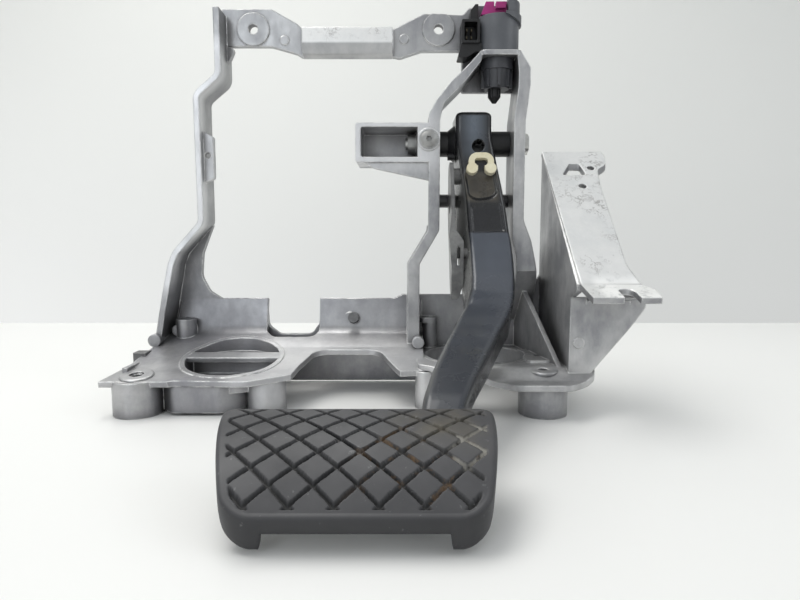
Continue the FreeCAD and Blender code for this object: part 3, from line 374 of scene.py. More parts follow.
def arm_paint():
    """Black coat of the arm: glossy, with painted blue-grey reflections on the open planes of its front and a grey
    one on its left side, brown in the hollow.
    """
    material, tree, shader = new_material("arm_paint", 0.0, 0.3, 0.45, 0.2)
    coords = object_coords(tree)
    box = {name: region(tree, coords, *corners) for name, corners in ARM_BOXES.items()}
    mottle = use_group(tree, MOTTLE, Patch_Scale=26.0, Grain_Scale=700.0)
    edge = use_group(tree, EDGE, Reach=0.0010, Break_Up=80.0)
    colour = mix_colour(tree, mottle.outputs["Patches"], ARM_TONES["dark"], ARM_TONES["light"])
    reflection_patches = span(tree, noise(tree, coords, 28.0, 4.0, 0.6, stretch=(1.0, 1.0, 0.35)), 0.3, 0.7, 0.74, 1.0)
    fade = span(tree, split(tree, coords)["Z"], 0.058, 0.125, 0.42, 1.0)
    # Painted reflections of the room in the glossy coat: blue-grey on the head and the panel of the front, grey on
    # the left side
    painted_reflections = {"head": facing(tree, FORWARD, 0.90, 0.99),
             "panel": overlap(tree, facing(tree, (0, -0.75, 0.66), 0.62, 0.90), fade),
             "side": facing(tree, (-0.968, -0.25, 0), 0.86, 0.96)}
    for name, mask in painted_reflections.items():
        colour = tint(tree, colour, ARM_TONES[name], overlap(tree, mask, box[name], reflection_patches))
    dirt = span(tree, noise(tree, coords, 60.0, 5.0, 0.65), 0.35, 0.65, 0.35, 0.9)
    dirt = overlap(tree, dirt, box["hollow"], facing(tree, FORWARD, 0.7, 0.9))
    colour = tint(tree, colour, ARM_TONES["dirt"], dirt)
    # Paler edges: partly wear, partly a painted highlight along them
    colour = tint(tree, colour, ARM_TONES["edge"], edge.outputs["Mask"], 0.5)
    # Painted shade: the hole near black
    colour = tint(tree, colour, ARM_TONES["hole"], box["hole"])
    tree.links.new(colour, shader.inputs["Base Color"])
    tree.links.new(span(tree, mottle.outputs["Patches"], 0.0, 1.0, 0.32, 0.22), shader.inputs["Roughness"])
    tree.links.new(bump(tree, mottle.outputs["Grain"], 0.35, 0.00002, edge.outputs["Normal"]),
                   shader.inputs["Normal"])
    return material


RUBBER_TONES = {
    "dark": (0.039, 0.039, 0.0425), "light": (0.060, 0.060, 0.064), "front": (0.026, 0.026, 0.027),
    "groove": (0.0035, 0.0033, 0.0035), "dirt": (0.135, 0.078, 0.034), "haze": (0.115, 0.098, 0.062),
    "scuff": (0.30, 0.29, 0.26), "worn": (0.20, 0.20, 0.20)}
RUBBER_BOXES = {
    "dirt": ((0.030, -0.202, None), (0.090, -0.160, None), 0.012),
    "haze": ((0.045, -0.172, None), (0.090, -0.140, None), 0.010),
    "scuff": ((0.070, -0.184, None), (0.0925, -0.156, None), 0.003)}


def rubber_material():
    """Worn rubber: dark grey, brown grime lying in the grooves, pale scuffs in the grooves of the right side, and
    painted shade darkening its front faces and its grooves.
    """
    material, tree, shader = new_material("pad_rubber_worn", 0.0, 0.6, 0.4)
    coords = object_coords(tree)
    box = {name: region(tree, coords, *corners) for name, corners in RUBBER_BOXES.items()}
    mottle = use_group(tree, MOTTLE, Patch_Scale=22.0, Grain_Scale=1600.0)
    groove = node(tree, "ShaderNodeAttribute", attribute_name="groove").outputs["Fac"]
    grime = span(tree, noise(tree, coords, 70.0, 6.0, 0.7), 0.50, 0.60)
    cloud = span(tree, noise(tree, coords, 34.0, 5.0, 0.6, offset=(0.2, 0.7, 0.0)), 0.42, 0.62)
    scratches = span(tree, noise(tree, coords, 90.0, 5.0, 0.7), 0.42, 0.52)
    # Painted shade: faces turned to the front darker, and the grooves near black
    layers = (("front", facing(tree, FORWARD, 0.55, 0.9), 0.6),
              ("groove", groove, 0.96),
              ("dirt", overlap(tree, span(tree, groove, 0.02, 0.3), grime, box["dirt"]), 0.75),
              ("haze", overlap(tree, box["haze"], cloud), 0.45),
              ("scuff", overlap(tree, box["scuff"], scratches, span(tree, groove, 0.05, 0.5)), 0.85),
              ("worn", span(tree, noise(tree, coords, 210.0, 3.0, 0.6), 0.66, 0.72), 0.35))
    colour = mix_colour(tree, mottle.outputs["Patches"], RUBBER_TONES["dark"], RUBBER_TONES["light"])
    for name, mask, amount in layers:
        colour = tint(tree, colour, RUBBER_TONES[name], mask, amount)
    tree.links.new(colour, shader.inputs["Base Color"])
    tree.links.new(span(tree, mottle.outputs["Patches"], 0.0, 1.0, 0.62, 0.45), shader.inputs["Roughness"])
    tree.links.new(bump(tree, mottle.outputs["Grain"], 0.5, 0.00008), shader.inputs["Normal"])
    return material


# Plain finishes: their values are those of finish_material
FINISHES = {
    "black_paint": dict(
        base=(0.020, 0.021, 0.025), dark=(0.014, 0.0145, 0.017), light=(0.08, 0.08, 0.085), roughness=(0.26, 0.36),
        patch=30.0, grain=700.0, grain_depth=0.00002, edge_reach=0.0008, edge_amount=0.4, specular=0.6, coat=0.25),
    "black_plastic": dict(
        base=(0.006, 0.006, 0.007), dark=(0.004, 0.004, 0.005), light=(0.05, 0.05, 0.055), roughness=(0.42, 0.6),
        patch=40.0, grain=1200.0, grain_depth=0.00003, edge_reach=0.0005),
    "grey_plastic": dict(
        base=(0.105, 0.110, 0.122), dark=(0.075, 0.080, 0.090), light=(0.20, 0.205, 0.22), roughness=(0.36, 0.5),
        patch=40.0, grain=1200.0, grain_depth=0.00002),
    "magenta_plastic": dict(
        base=(0.40, 0.022, 0.20), dark=(0.26, 0.013, 0.12), light=(0.8, 0.25, 0.6), roughness=(0.3, 0.42),
        patch=60.0, grain=1500.0, grain_depth=0.00001, edge_reach=0.0005, edge_amount=0.4),
    "cream_nylon": dict(
        base=(0.74, 0.70, 0.53), dark=(0.62, 0.56, 0.38), light=(0.86, 0.84, 0.72), roughness=(0.35, 0.5),
        patch=90.0, grain=1500.0, grain_depth=0.00002, edge_reach=0.0007, edge_amount=0.4),
    "zinc_steel": dict(
        base=(0.62, 0.62, 0.60), dark=(0.42, 0.42, 0.41), light=(0.85, 0.85, 0.84), metallic=0.9,
        roughness=(0.24, 0.42), patch=70.0, grain=1500.0, grain_depth=0.00003, edge_reach=0.0005, edge_amount=0.7),
    # Link plate: black gloss paint whose grey is a painted reflection of the bright surroundings, darker at its edges
    "link_painted_reflection": dict(
        base=(0.22, 0.22, 0.215), dark=(0.050, 0.050, 0.052), light=(0.012, 0.012, 0.013), roughness=(0.25, 0.4),
        patch=55.0, grain_depth=0.00002, edge_reach=0.0009, edge_amount=0.9, coat=0.2),
    "dull_zinc": dict(
        base=(0.44, 0.44, 0.43), dark=(0.27, 0.27, 0.265), light=(0.72, 0.72, 0.70), metallic=0.75,
        roughness=(0.42, 0.58), patch=90.0, grain=1500.0, edge_reach=0.0005, edge_amount=0.7),
    "collar_plastic": dict(
        base=(0.052, 0.054, 0.062), dark=(0.032, 0.033, 0.038), light=(0.13, 0.13, 0.14), roughness=(0.4, 0.55),
        patch=40.0, grain=1200.0, grain_depth=0.00003, edge_reach=0.0005, edge_amount=0.6),
    "stained_cast": dict(
        base=(0.20, 0.20, 0.205), dark=(0.11, 0.11, 0.11), light=(0.55, 0.55, 0.55), metallic=0.6,
        roughness=(0.45, 0.6), patch=120.0, grain=1500.0, edge_amount=0.6),
    "contact": dict(base=(0.11, 0.095, 0.06), dark=(0.07, 0.06, 0.04), metallic=0.6, roughness=(0.35, 0.5)),
}
MATERIALS = {name: finish_material(name, **values) for name, values in FINISHES.items()}
MATERIALS.update(cast=cast_material(), arm_paint=arm_paint(), rubber=rubber_material())


# Meshes

JOIN_REACH = 4e-6  # metres; CAD points nearer than this are one point
SHARP_ANGLE = math.radians(26)


def smooth_step(value, low, high):
    """0 up to low, 1 from high, and an S between them."""
    part = np.clip((value - low) / (high - low), 0, 1)
    return part * part * (3 - 2 * part)


def grid_mesh(name, points, closed_u=False, closed_v=False, smooth=True):
    """Mesh object from a grid of points (rows, columns, 3) in millimetres from the servo axis."""
    rows, columns = points.shape[:2]
    index = np.arange(rows * columns).reshape(rows, columns)
    if closed_u:
        index = np.vstack([index, index[:1]])
    if closed_v:
        index = np.hstack([index, index[:, :1]])
    faces = np.stack([index[:-1, :-1], index[1:, :-1], index[1:, 1:], index[:-1, 1:]], axis=-1).reshape(-1, 4)
    mesh = bpy.data.meshes.new(name)
    mesh.from_pydata(metres(points).reshape(-1, 3).tolist(), [], faces.tolist())
    mesh.polygons.foreach_set("use_smooth", np.full(len(mesh.polygons), smooth))
    mesh.update()
    piece = bpy.data.objects.new(name, mesh)
    bpy.context.scene.collection.objects.link(piece)
    return piece


def smooth_group():
    """Modifier that joins the loose triangles of a CAD node and shades them smooth, but for its real edges."""
    group = bpy.data.node_groups.new("smooth_forms", "GeometryNodeTree")
    group.interface.new_socket("Geometry", in_out="INPUT", socket_type="NodeSocketGeometry")
    group.interface.new_socket("Geometry", in_out="OUTPUT", socket_type="NodeSocketGeometry")
    start, end = group.nodes.new("NodeGroupInput"), group.nodes.new("NodeGroupOutput")
    merge = node(group, "GeometryNodeMergeByDistance")
    merge.inputs["Distance"].default_value = JOIN_REACH
    faces = node(group, "GeometryNodeSetShadeSmooth", domain="FACE")
    edges = node(group, "GeometryNodeSetShadeSmooth", domain="EDGE")
    edges.inputs["Shade Smooth"].default_value = False
    sharp = node(group, "FunctionNodeCompare", data_type="FLOAT", operation="GREATER_THAN")
    sharp.inputs["B"].default_value = SHARP_ANGLE
    angle = node(group, "GeometryNodeInputMeshEdgeAngle")
    group.links.new(start.outputs[0], merge.inputs["Geometry"])
    group.links.new(merge.outputs[0], faces.inputs["Geometry"])
    group.links.new(faces.outputs[0], edges.inputs["Geometry"])
    group.links.new(angle.outputs["Unsigned Angle"], sharp.inputs["A"])
    group.links.new(sharp.outputs[0], edges.inputs["Selection"])
    group.links.new(edges.outputs[0], end.inputs[0])
    return group


SMOOTH = smooth_group()


def paint(piece, material):
    """Gives a piece one material in place of those it has."""
    piece.data.materials.clear()
    piece.data.materials.append(material)


# Casting

CASTING = [name for name in frame["nodes"] if name.startswith("bracket_")]
# Planes on which the casting's nodes meet, in the frame: axis and place in metres
MEETING = ((0, -0.0970), (0, -0.0435), (0, 0.0480), (0, 0.1005), (0, 0.1748), (2, 0.092), (2, 0.240), (2, 0.284))
MEETING_REACH = 3e-6


def casting_skin():
    """One skin over the casting: the triangles of its nodes, less those on a plane where two nodes meet."""
    triangles = []
    for name in CASTING:
        mesh = frame["nodes"][name].data
        mesh.calc_loop_triangles()
        points = np.empty(3 * len(mesh.vertices))
        mesh.vertices.foreach_get("co", points)
        corners = np.empty(3 * len(mesh.loop_triangles), int)
        mesh.loop_triangles.foreach_get("vertices", corners)
        triangles.append(points.reshape(-1, 3)[corners].reshape(-1, 3, 3))
    triangles = np.concatenate(triangles)
    meeting = np.zeros(len(triangles), bool)
    for axis, place in MEETING:
        meeting |= np.all(np.abs(triangles[:, :, axis] - place) < MEETING_REACH, axis=1)
    points = triangles[~meeting].reshape(-1, 3)
    mesh = bpy.data.meshes.new("casting_skin")
    mesh.from_pydata(points.tolist(), [], np.arange(len(points)).reshape(-1, 3).tolist())
    mesh.update()
    piece = bpy.data.objects.new("casting_skin", mesh)
    bpy.context.scene.collection.objects.link(piece)
    paint(piece, MATERIALS["cast"])
    piece.modifiers.new("smooth_forms", "NODES").node_group = SMOOTH
    return piece


# Profile of a stud: parts of its radius and its height, from a foot inside the casting
STUD = ((0.01, -1), (1, -1), (1, 0.9), (0.93, 1), (0.01, 1))
# Studs and lug: name, centre on the casting's face, axis, radius, height, sides and finish, in mm
CAST_FORMS = (
    ("rear_stud", (-106.5, 38.1, 61.5), (0, -0.96, 0.28), 5.0, 4.5, 48, "stained_cast"),
    ("column_stud", (-278.4, 12.0, 45.5), (0, -1, 0), 5.6, 5.0, 48, "cast"),
    ("column_foot_stud", (-48.3, 6.0, 44.6), (0, -1, 0), 5.2, 4.0, 48, "cast"),
    ("side_lug", (-282.3, -8.0, 33.6), (0, -1, 0), 7.6, 6.0, 4, "stained_cast"))
# Raised rings round the bolt holes: name, centre, axis, inner radius, outer radius and height, in mm
CAST_RINGS = (("left_hole_ring", (-266.3, -54.3, 28.9), (0, -0.14, 0.99), 5.4, 12.5, 1.5),
              ("right_hole_ring", (47.1, -48.5, 32.2), (0, -0.14, 0.99), 5.4, 12.0, 1.8))
RING_CHAMFER = 0.9


def turned(name, centre, axis, profile, sides=48, closed=False):
    """Surface turned about an axis: centre + height * axis + radius * (u cos t - v sin t), with u, v square to it."""
    axis = np.array(axis, float) / np.linalg.norm(axis)
    u = np.array([1.0, 0, 0])
    v = np.cross(axis, u)
    turn = (np.arange(sides) + 0.5) * 2 * math.pi / sides
    ring = np.cos(turn)[:, None] * u - np.sin(turn)[:, None] * v
    profile = np.array(profile, float)
    points = np.array(centre) + profile[:, 1, None, None] * axis + profile[:, 0, None, None] * ring
    return grid_mesh(name, points, closed_u=closed, closed_v=True, smooth=False)


def cast_forms():
    """Studs, lug and hole rings of the casting that its solids do without."""
    made = []
    for name, centre, axis, radius, height, sides, finish in CAST_FORMS:
        profile = np.array(STUD) * [radius, height]
        made.append((turned(name, centre, axis, profile, sides), finish))
    for name, centre, axis, inner, outer, height in CAST_RINGS:
        profile = ((inner, -1), (outer, -1), (outer, height * 0.6), (outer - RING_CHAMFER, height), (inner, height))
        made.append((turned(name, centre, axis, profile, closed=True), "cast"))
    for piece, finish in made:
        paint(piece, MATERIALS[finish])
        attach(piece, "bracket")


# Pad

# Plan and crown, in mm
PAD_LEFT, PAD_RIGHT, PAD_MARGIN = -158.0, -14.0, 1.0
PAD_FRONT, PAD_REAR, PAD_REAR_Z = -261.0, -190.0, 44.0
PAD_RADIUS, PAD_THICK, PAD_TAPER, PAD_DRIFT = 104.5, 7.0, 14.5, 3.6
EDGE_ROUND = 2.6
# Plan corners: length along the side and width across it
REAR_CORNER, FRONT_CORNER = (8.0, 8.0), (11.0, 12.0)
# Lozenges: pitch of the lattice, one crossing of its lines, depth and half width of a groove
PITCH_X, PITCH_Y, GROOVE_DEPTH, GROOVE_HALF = 19.6, 16.3, 2.0, 1.12
GROOVE_X, GROOVE_Y = -82.5, -231.4
# Grooves fade out over these distances from the pad's sides, a little nearer to its front and rear edges
GROOVE_FADE, NEARER_FRONT, NEARER_REAR = (4.8, 5.6), 1.2, 3.0
# Skirt: depth of the front strip and of the legs, and where they begin behind the front edge and are full
LOBE_INNER, LOBE_DEPTH, STRIP_DEPTH = 40.6, 15.5, 8.7
STRIP_BEGIN, STRIP_RUN, LEG_BEGIN, LEG_RUN = 30, 12, 22, 14
# Rows of the outer wall and of the inner lip: part of the skirt's depth and inset from the outline
WALL_ROWS = ((0.25, -0.1), (0.5, 0.1), (0.75, 0.5), (0.93, 1.0), (1.0, 1.8))
LIP_ROWS = ((1.0, 3.4), (0.96, 4.2), (0.6, 4.4), (0.3, 4.6))
PAD_COLUMNS, PAD_RINGS = 760, 106


def pad_half_width(y):
    """Half the width of the pad at y: full at the rear, drawn in to the front, with rounded corners."""
    part = np.clip((PAD_REAR - y) / (PAD_REAR - PAD_FRONT), 0, 1)
    half = (PAD_RIGHT - PAD_LEFT) / 2 - PAD_MARGIN - PAD_TAPER * part ** 1.8
    rear = np.clip((y - PAD_REAR + REAR_CORNER[0]) / REAR_CORNER[0], 0, 1)
    front = np.clip((PAD_FRONT + FRONT_CORNER[0] - y) / FRONT_CORNER[0], 0, 1)
    return (half - REAR_CORNER[1] * (1 - np.sqrt(1 - rear ** 2))
            - FRONT_CORNER[1] * (1 - np.sqrt(1 - front ** 2)))


def pad_middle(y):
    """Middle of the pad at y: it drifts to the right towards the front, because the left side is cut back more."""
    part = np.clip((PAD_REAR - y) / (PAD_REAR - PAD_FRONT), 0, 1)
    return (PAD_LEFT + PAD_RIGHT) / 2 - 0.3 + PAD_DRIFT * part


def pad_top(y):
    """Height of the crown at y: a circle that lies level at the rear edge."""
    return PAD_REAR_Z - PAD_RADIUS + np.sqrt(PAD_RADIUS ** 2 - (PAD_REAR - y) ** 2)


def groove_depth(x, y):
    """Depth 0 to 1 of the crossed grooves: how near a point lies to a line of the lozenge lattice, ragged by waves.

    The grooves end short of the pad's edges."""
    across, ahead = (x - GROOVE_X) / PITCH_X, (y - GROOVE_Y) / PITCH_Y
    lines = (np.abs((turns + 0.5) % 1 - 0.5) for turns in (across + ahead, across - ahead))
    reach = np.minimum(*lines) * PITCH_X * PITCH_Y / math.hypot(PITCH_X, PITCH_Y)
    ragged = 0.13 * np.sin(2.3 * x + 1.1 * y) * np.sin(0.9 * x - 2.7 * y) + 0.11 * np.sin(0.37 * x + 0.53 * y)
    edge = pad_half_width(y) - np.abs(x - pad_middle(y))
    edge = np.minimum(np.minimum(edge, y - PAD_FRONT + NEARER_FRONT), PAD_REAR - y + NEARER_REAR)
    return (1 - smooth_step(reach + ragged, 0.5 * GROOVE_HALF, GROOVE_HALF)) * smooth_step(edge, *GROOVE_FADE)


def pad_outline(count):
    """Closed plan of the pad, counter-clockwise from the middle of its front edge, as points and outward normals."""
    turn = np.linspace(0, math.pi, 4000)
    y = (PAD_FRONT + PAD_REAR) / 2 - (PAD_REAR - PAD_FRONT) / 2 * np.cos(turn)
    half = pad_half_width(y)
    right = np.stack([half, y], axis=-1)
    loop = np.vstack([[[0, PAD_FRONT]], right, [[0, PAD_REAR]], (right * [-1, 1])[::-1], [[0, PAD_FRONT]]])
    steps = np.hypot(*np.diff(loop, axis=0).T)
    run = np.concatenate([[0], np.cumsum(steps)])
    place = np.linspace(0, run[-1], count, endpoint=False)
    points = np.stack([np.interp(place, run, loop[:, 0]), np.interp(place, run, loop[:, 1])], axis=-1)
    chord = np.roll(points, -3, 0) - np.roll(points, 3, 0)
    normal = np.stack([chord[:, 1], -chord[:, 0]], axis=-1)
    normal /= np.linalg.norm(normal, axis=1)[:, None]
    points[:, 0] += pad_middle(points[:, 1])
    return points, normal


def skirt_depth(points, normal):
    """How far the rubber hangs below the crown's edge: thin at the sides, a strip in front, legs at its corners."""
    x, y = points.T
    front = smooth_step(-normal[:, 1], 0.05, 0.35) * smooth_step(PAD_FRONT + STRIP_BEGIN - y, 0, STRIP_RUN)
    depth = PAD_THICK + (STRIP_DEPTH - PAD_THICK) * front
    reach = np.abs(x - pad_middle(y))
    leg = smooth_step(reach, LOBE_INNER - 0.5, LOBE_INNER + 0.5) * smooth_step(PAD_FRONT + LEG_BEGIN - y, 0, LEG_RUN)
    return depth + (LOBE_DEPTH - depth) * leg


def pad_rubber():
    """Rubber pad: a field of plan points under the crown, closed by a rounded rim, an outer wall and an inner lip."""
    points, normal = pad_outline(PAD_COLUMNS)
    centre = (PAD_FRONT + PAD_REAR) / 2
    middle = np.array([pad_middle(centre), centre - 4])
    inward = points - normal * EDGE_ROUND
    rim = pad_top(inward[:, 1])
    smooth = np.zeros(PAD_COLUMNS)
    rows = []  # plan, height and groove of each ring, from the middle of the crown to the middle of the underside
    for part in np.linspace(0.0, 1.0, PAD_RINGS)[::-1]:
        plan = inward + (middle - inward) * part * 0.999
        groove = groove_depth(*plan.T) * smooth_step(np.linalg.norm(plan - inward, axis=1), 0.6, 1.6)
        rows.append((plan, pad_top(plan[:, 1]) - GROOVE_DEPTH * groove, groove))
    for angle in np.radians([15, 30, 45, 60, 75, 90]):
        plan = inward + normal * EDGE_ROUND * math.sin(angle)
        rows.append((plan, rim - EDGE_ROUND * (1 - math.cos(angle)), smooth))
    crown, depth = rim - EDGE_ROUND, skirt_depth(points, normal) - EDGE_ROUND
    for part, inset in WALL_ROWS:
        rows.append((points - normal * inset, crown - depth * part, smooth))
    for part, inset in LIP_ROWS:
        rows.append((points - normal * inset, crown - np.maximum(depth * part, PAD_THICK - EDGE_ROUND - 1), smooth))
    for part in (0.3, 0.6, 0.98):
        plan = inward + (middle - inward) * part
        rows.append((plan, pad_top(plan[:, 1]) - PAD_THICK + 0.4, smooth))
    points = np.stack([np.column_stack([plan, height]) for plan, height, _ in rows])
    piece = grid_mesh("pad_rubber_skin", points, closed_v=True)
    attribute = piece.data.attributes.new("groove", "FLOAT", "POINT")
    attribute.data.foreach_set("value", np.concatenate([groove for _, _, groove in rows]).astype(np.float32))
    paint(piece, MATERIALS["rubber"])
    return piece


# Pedal arm

# Line of the arm's front, from its foot to its head: middle x, y, z, width, depth, flare of the left wall, in mm
ARM_LINE = np.array([
    (-50.0, -228, 23.4, 20.5, 5, 0), (-47.0, -215, 27.3, 21.5, 6, 0), (-43.0, -200, 31, 22.5, 8, 0),
    (-41.0, -184, 36.5, 24, 11, 0), (-37.5, -166, 44.5, 26, 14, 0), (-30.0, -141, 53, 29, 17, 0),
    (-19.8, -113, 62.5, 31.5, 20, 0.5), (-8.5, -85, 73.5, 33, 21, 1), (2.5, -61, 84, 34.5, 22, 2),
    (8.0, -44.5, 94.5, 34.5, 24, 3.5), (10.2, -31, 106, 35, 26, 5), (10.8, -21, 118, 35.5, 27, 6.5),
    (10.6, -12, 132, 35.5, 28, 7), (9.5, -6.2, 142, 35, 29, 7), (8.0, 0.2, 162, 34, 29, 6),
    (6.0, 4.5, 178, 32.5, 29, 5), (3.2, 9.6, 196, 31.5, 34, 2), (1.5, 13, 208, 31.5, 38, 0.5),
    (0, 16, 218, 31, 40, 0), (-0.5, 18, 227, 31, 40, 0), (-0.5, 18.4, 236, 31, 32, 0)])
ARM_TOP, ARM_WALL, ARM_RADIUS, ARM_CAP = 243.2, 2.5, 4.6, 5.0
HOLE_X, HOLE_Z, HOLE_RADIUS, HOLE_EDGE = 3.0, 213.0, 5.7, 0.36
CREASE_Z, SHOULDER_Z = 139.5, 164.5
RISE_ROWS, CLOSE_ROWS = 8, 8
# Hollow under the clip: depth, half width, middle, rise of its floor at the sides, heights at which it closes
HOLLOW_DEPTH, HOLLOW_HALF, HOLLOW_MIDDLE, HOLLOW_RISE, HOLLOW_TOP = 3.4, 12.5, -0.6, 5, (186, 194)
PLANE_DEPTH = 1.5
# Steps along the arm, finer within a reach of its hole, and how many of them are smoothed together
LINE_STEP, HOLE_STEP, HOLE_REACH, SMOOTHING = 1.2, 0.5, 7, 13
# Points across the front, outside and inside, and the depth up to which a point counts as front
OUTER_POINTS, INNER_POINTS, FRONT_DEPTH = 58, 16, 3
HOLE_DEPTH = 9.0


def arm_profile(width, depth, flare, inset, fine):
    """U across the arm, as arrays a across and b inward: left wall, round corner, front, round corner, right wall.

    The left wall leaves its corner straight and spreads by flare where it ends."""
    half, radius = width / 2 - inset, max(ARM_RADIUS - inset, 1.2)
    turn = np.radians(np.linspace(0, 90, 8))[None, :]
    down = np.linspace(1, 0, 9)[None, :-1]
    level = inset + radius
    wall_b = level + (depth - level) * down
    arc_a, arc_b = half - radius + radius * np.cos(turn), level - radius * np.sin(turn) + 0 * half
    front_a = (half - radius) * np.linspace(-1, 1, fine)[None, 1:-1]
    a = np.hstack([-half - flare * down, -arc_a, front_a, arc_a[:, ::-1], half + 0 * down])
    b = np.hstack([wall_b, arc_b, inset + 0 * front_a, arc_b[:, ::-1], wall_b[:, ::-1]])
    return a, b


def arm_relief(a, z, half):
    """How far the front is pressed in: a hollow under the clip, and the plane between its shoulder and the crease."""
    inside = smooth_step(half - np.abs(a), 3.6, 6.0)
    off = np.abs(a - HOLLOW_MIDDLE)
    bottom = SHOULDER_Z + 2 + HOLLOW_RISE * (off / 12) ** 3
    hollow = smooth_step(HOLLOW_HALF - off, -1.5, 2.0) * smooth_step(z - bottom, -1.5, 4)
    hollow = HOLLOW_DEPTH * hollow * (1 - smooth_step(z, *HOLLOW_TOP))
    plane = smooth_step(z, CREASE_Z - 0.6, CREASE_Z + 1.2) * (1 - smooth_step(z, SHOULDER_Z - 4, SHOULDER_Z))
    return hollow + PLANE_DEPTH * inside * plane


def arm_line():
    """Rows of the arm's line, resampled evenly and smoothed, and the way it runs; the last row stays for the cap."""
    run = np.concatenate([[0], np.cumsum(np.linalg.norm(np.diff(ARM_LINE[:, :3], axis=0), axis=1))])
    near = np.interp([HOLE_Z - HOLE_REACH, HOLE_Z + HOLE_REACH], ARM_LINE[:, 2], run)
    place = np.concatenate([np.arange(0, near[0], LINE_STEP), np.arange(near[0], near[1], HOLE_STEP),
                            np.arange(near[1], run[-1], LINE_STEP)])
    line = np.stack([np.interp(place, run, column) for column in ARM_LINE.T], axis=-1)
    kernel = np.hanning(SMOOTHING)[1:-1]
    reach = len(kernel) // 2
    before = 2 * line[0] - line[reach:0:-1]
    after = 2 * line[-1] - line[-2:-2 - reach:-1]
    longer = np.vstack([before, line, after])
    line = np.stack([np.convolve(column, kernel / kernel.sum(), "valid") for column in longer.T], axis=-1)
    way = np.gradient(line[:, :3], axis=0)
    way /= np.linalg.norm(way, axis=1)[:, None]
    cap = RISE_ROWS + CLOSE_ROWS
    return np.vstack([line, np.repeat(line[-1:], cap, 0)]), np.vstack([way, np.tile((0.0, 0, 1), (cap, 1))])


def arm_skin():
    """Pressed arm: the U profile carried along the line of the front, and closed over the head by a rounded cap.

    Row by row the cap first turns in on its front and sides by a quarter round, then its sides meet in the middle."""
    line, way = arm_line()
    across = np.array([1.0, 0, 0]) - way * way[:, :1]
    across /= np.linalg.norm(across, axis=1)[:, None]
    inward = np.cross(way, across)
    rows = len(line) - RISE_ROWS - CLOSE_ROWS
    turn = np.radians(np.concatenate([np.zeros(rows), np.linspace(4, 90, RISE_ROWS), np.full(CLOSE_ROWS, 90.0)]))
    turn = turn[:, None]
    squeeze = np.concatenate([np.ones(rows + RISE_ROWS), np.linspace(0.86, 0, CLOSE_ROWS)])[:, None]
    lift = (turn > 0) * (ARM_TOP - ARM_CAP - line[-1, 2]) + ARM_CAP * np.sin(turn)
    width, depth, flare = (line[:, index:index + 1] for index in (3, 4, 5))
    round_in = ARM_CAP * (1 - np.cos(turn))

    def shell(inset, fine, first=slice(None)):
        """Rows of the U at an inset from the outside; its hole is pressed in, with points drawn to a round rim."""
        a, b = arm_profile(width, depth, flare, inset, fine)
        relief = arm_relief(a, line[:, 2:3], width / 2) * (turn == 0)
        a = a * (1 - 2 * round_in / width) * squeeze
        b = b + 1.3 * round_in * np.clip(1 - b / depth, 0, 1)
        off_x, off_z = line[:, :1] + a - HOLE_X, line[:, 2:3] - HOLE_Z + 0 * a
        gap = np.maximum(np.hypot(off_x, off_z), 1e-6)
        front = b < FRONT_DEPTH
        pull = np.where((np.abs(gap - HOLE_RADIUS) < HOLE_EDGE) & front, HOLE_RADIUS / gap - 1, 0)
        hole = HOLE_DEPTH * ((gap < HOLE_RADIUS - HOLE_EDGE) & front)
        up = lift - inset * np.sin(turn) + off_z * pull
        place = (line[:, None, :3] + across[:, None] * (a + off_x * pull)[..., None]
                 + inward[:, None] * (b + relief + hole)[..., None] + way[:, None] * up[..., None])
        return place[first]

    outer, inner = shell(0.0, OUTER_POINTS), shell(ARM_WALL, INNER_POINTS)
    foot = [shell(ARM_WALL / 2, fine, slice(0, 1)) for fine in (OUTER_POINTS, INNER_POINTS)]
    loop = np.concatenate([np.vstack([foot[0], outer]), np.vstack([foot[1], inner])[:, ::-1]], axis=1)
    piece = grid_mesh("arm_skin", loop[:, ::-1], closed_v=True)
    paint(piece, MATERIALS["arm_paint"])
    return piece


# Stage, light and camera

def stage_plane(name, corners, colour, roughness):
    """Four-cornered plane of the surroundings, in one finish."""
    mesh = bpy.data.meshes.new(name)
    mesh.from_pydata(corners, [], [(0, 1, 2, 3)])
    piece = bpy.data.objects.new(name, mesh)
    bpy.context.scene.collection.objects.link(piece)
    material, _, shader = new_material(name + "_finish", 0.0, roughness)
    shader.inputs["Base Color"].default_value = (*colour, 1)
    paint(piece, material)
    return piece


# The table ends where the photograph shows its rear edge; the wall stands behind it, clear of views from the rear
TABLE_END, WALL_Y = 0.488, 1.0
stage_plane("table", [(-3, -2, 0), (3, -2, 0), (3, TABLE_END, 0), (-3, TABLE_END, 0)], (0.765, 0.765, 0.752), 0.45)
wall = stage_plane("wall", [(-4, WALL_Y, -1), (4, WALL_Y, -1), (4, WALL_Y, 3), (-4, WALL_Y, 3)],
                   (0.74, 0.745, 0.725), 0.9)


def wall_glow(tree):
    """Paler band along the foot of the wall, strongest at the left, as by the photograph's light from the left."""
    place = split(tree, object_coords(tree))
    glow = overlap(tree, span(tree, place["Z"], -0.1, 0.8, 0.43, 0.0), span(tree, place["X"], -0.9, 0.05, 0.85, 0.36))
    tree.links.new(glow, tree.nodes["Principled BSDF"].inputs["Emission Strength"])


wall_glow(wall.data.materials[0].node_tree)


def area_light(name, place, target, width, height, power, colour):
    """Lamp with a rectangular face, turned to its target."""
    data = bpy.data.lights.new(name, "AREA")
    data.shape, data.size, data.size_y, data.energy = "RECTANGLE", width, height, power
    data.color = colour
    lamp = bpy.data.objects.new(name, data)
    bpy.context.scene.collection.objects.link(lamp)
    lamp.location = place
    lamp.rotation_euler = (Vector(target) - Vector(place)).to_track_quat("-Z", "Y").to_euler()


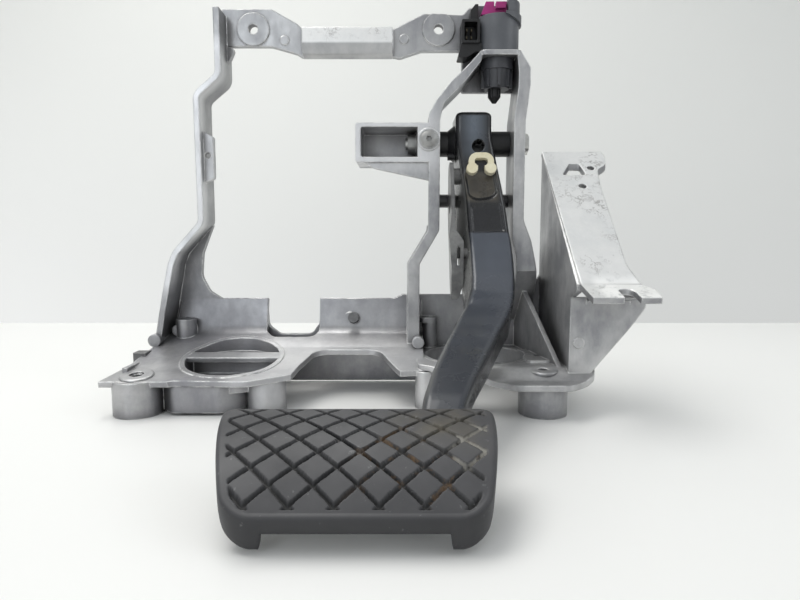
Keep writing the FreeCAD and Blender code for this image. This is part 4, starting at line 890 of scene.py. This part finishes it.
# Name, place, target, width, height, power and colour of each lamp
LAMPS = (("ceiling", (-0.5, 0.2, 1.5), (-0.05, -0.05, 0.1), 1.5, 0.8, 17, (1, 0.99, 0.96)),
         ("window", (-0.9, -1.9, 0.9), (0, 0, 0.15), 0.9, 0.9, 7, (0.88, 0.94, 1)),
         ("far_side", (1.3, -0.5, 0.9), (0, 0.05, 0.1), 0.7, 0.7, 3.5, (0.93, 0.97, 1)))
for lamp_values in LAMPS:
    area_light(*lamp_values)


def room_light():
    """Room that is bright overhead, dim towards the floor, and has a bright window behind the camera."""
    world = bpy.data.worlds.new("room")
    bpy.context.scene.world = world
    world.use_nodes = True
    tree = world.node_tree
    direction = node(tree, "ShaderNodeTexCoord").outputs["Generated"]
    overhead = span(tree, lean(tree, direction, (-0.35, 0.25, 0.9)), -0.3, 1.0, 0.34, 0.92)
    window = span(tree, lean(tree, direction, (0.0, -1.0, 0.05)), 0.80, 0.98, 0.0, 0.42)
    strength = math_node(tree, "ADD", overhead, window)
    background = tree.nodes["Background"]
    background.inputs["Color"].default_value = (0.90, 0.92, 0.93, 1)
    tree.links.new(strength, background.inputs["Strength"])


room_light()

# The photograph's view: 580 pixels of focal length on 800 pixels of width, 5.9 degrees downwards
CAMERA_PLACE = (0.046, -0.438, 0.133)
FOCAL_PIXELS, FRAME_PIXELS, SENSOR = 580.0, 800.0, 36.0
PITCH_DOWN = math.radians(5.906)
camera_data = bpy.data.cameras.new("camera")
camera_data.sensor_width = SENSOR
camera_data.lens = SENSOR * FOCAL_PIXELS / FRAME_PIXELS
camera_data.clip_start = 0.01
camera = bpy.data.objects.new("camera", camera_data)
bpy.context.scene.collection.objects.link(camera)
camera.location = CAMERA_PLACE
camera.rotation_euler = (math.pi / 2 - PITCH_DOWN, 0, 0)
bpy.context.scene.camera = camera
bpy.context.scene.view_settings.view_transform = "Standard"

# Pieces and finishes

# Finishes that a node has of its own; the others wear the finish of their slot
OWN_FINISH = {"link_plate": "link_painted_reflection", "torx_screw": "dull_zinc", "pivot_nut": "dull_zinc",
              "pivot_washer": "dull_zinc", "switch_collar": "collar_plastic"}
slots = {part["node"]: part["material_slot"] for part in frame["record"]["subparts"]}
for name, piece in frame["nodes"].items():
    paint(piece, MATERIALS[OWN_FINISH.get(name, slots[name])])
    piece.modifiers.new("smooth_forms", "NODES").node_group = SMOOTH

casting = casting_skin()
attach(casting, "bracket")
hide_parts(*CASTING)
cast_forms()

arm = arm_skin()
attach(arm, "pedal")
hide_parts("pedal_arm")

pad = pad_rubber()
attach(pad, "pedal")
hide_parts("pad_rubber")
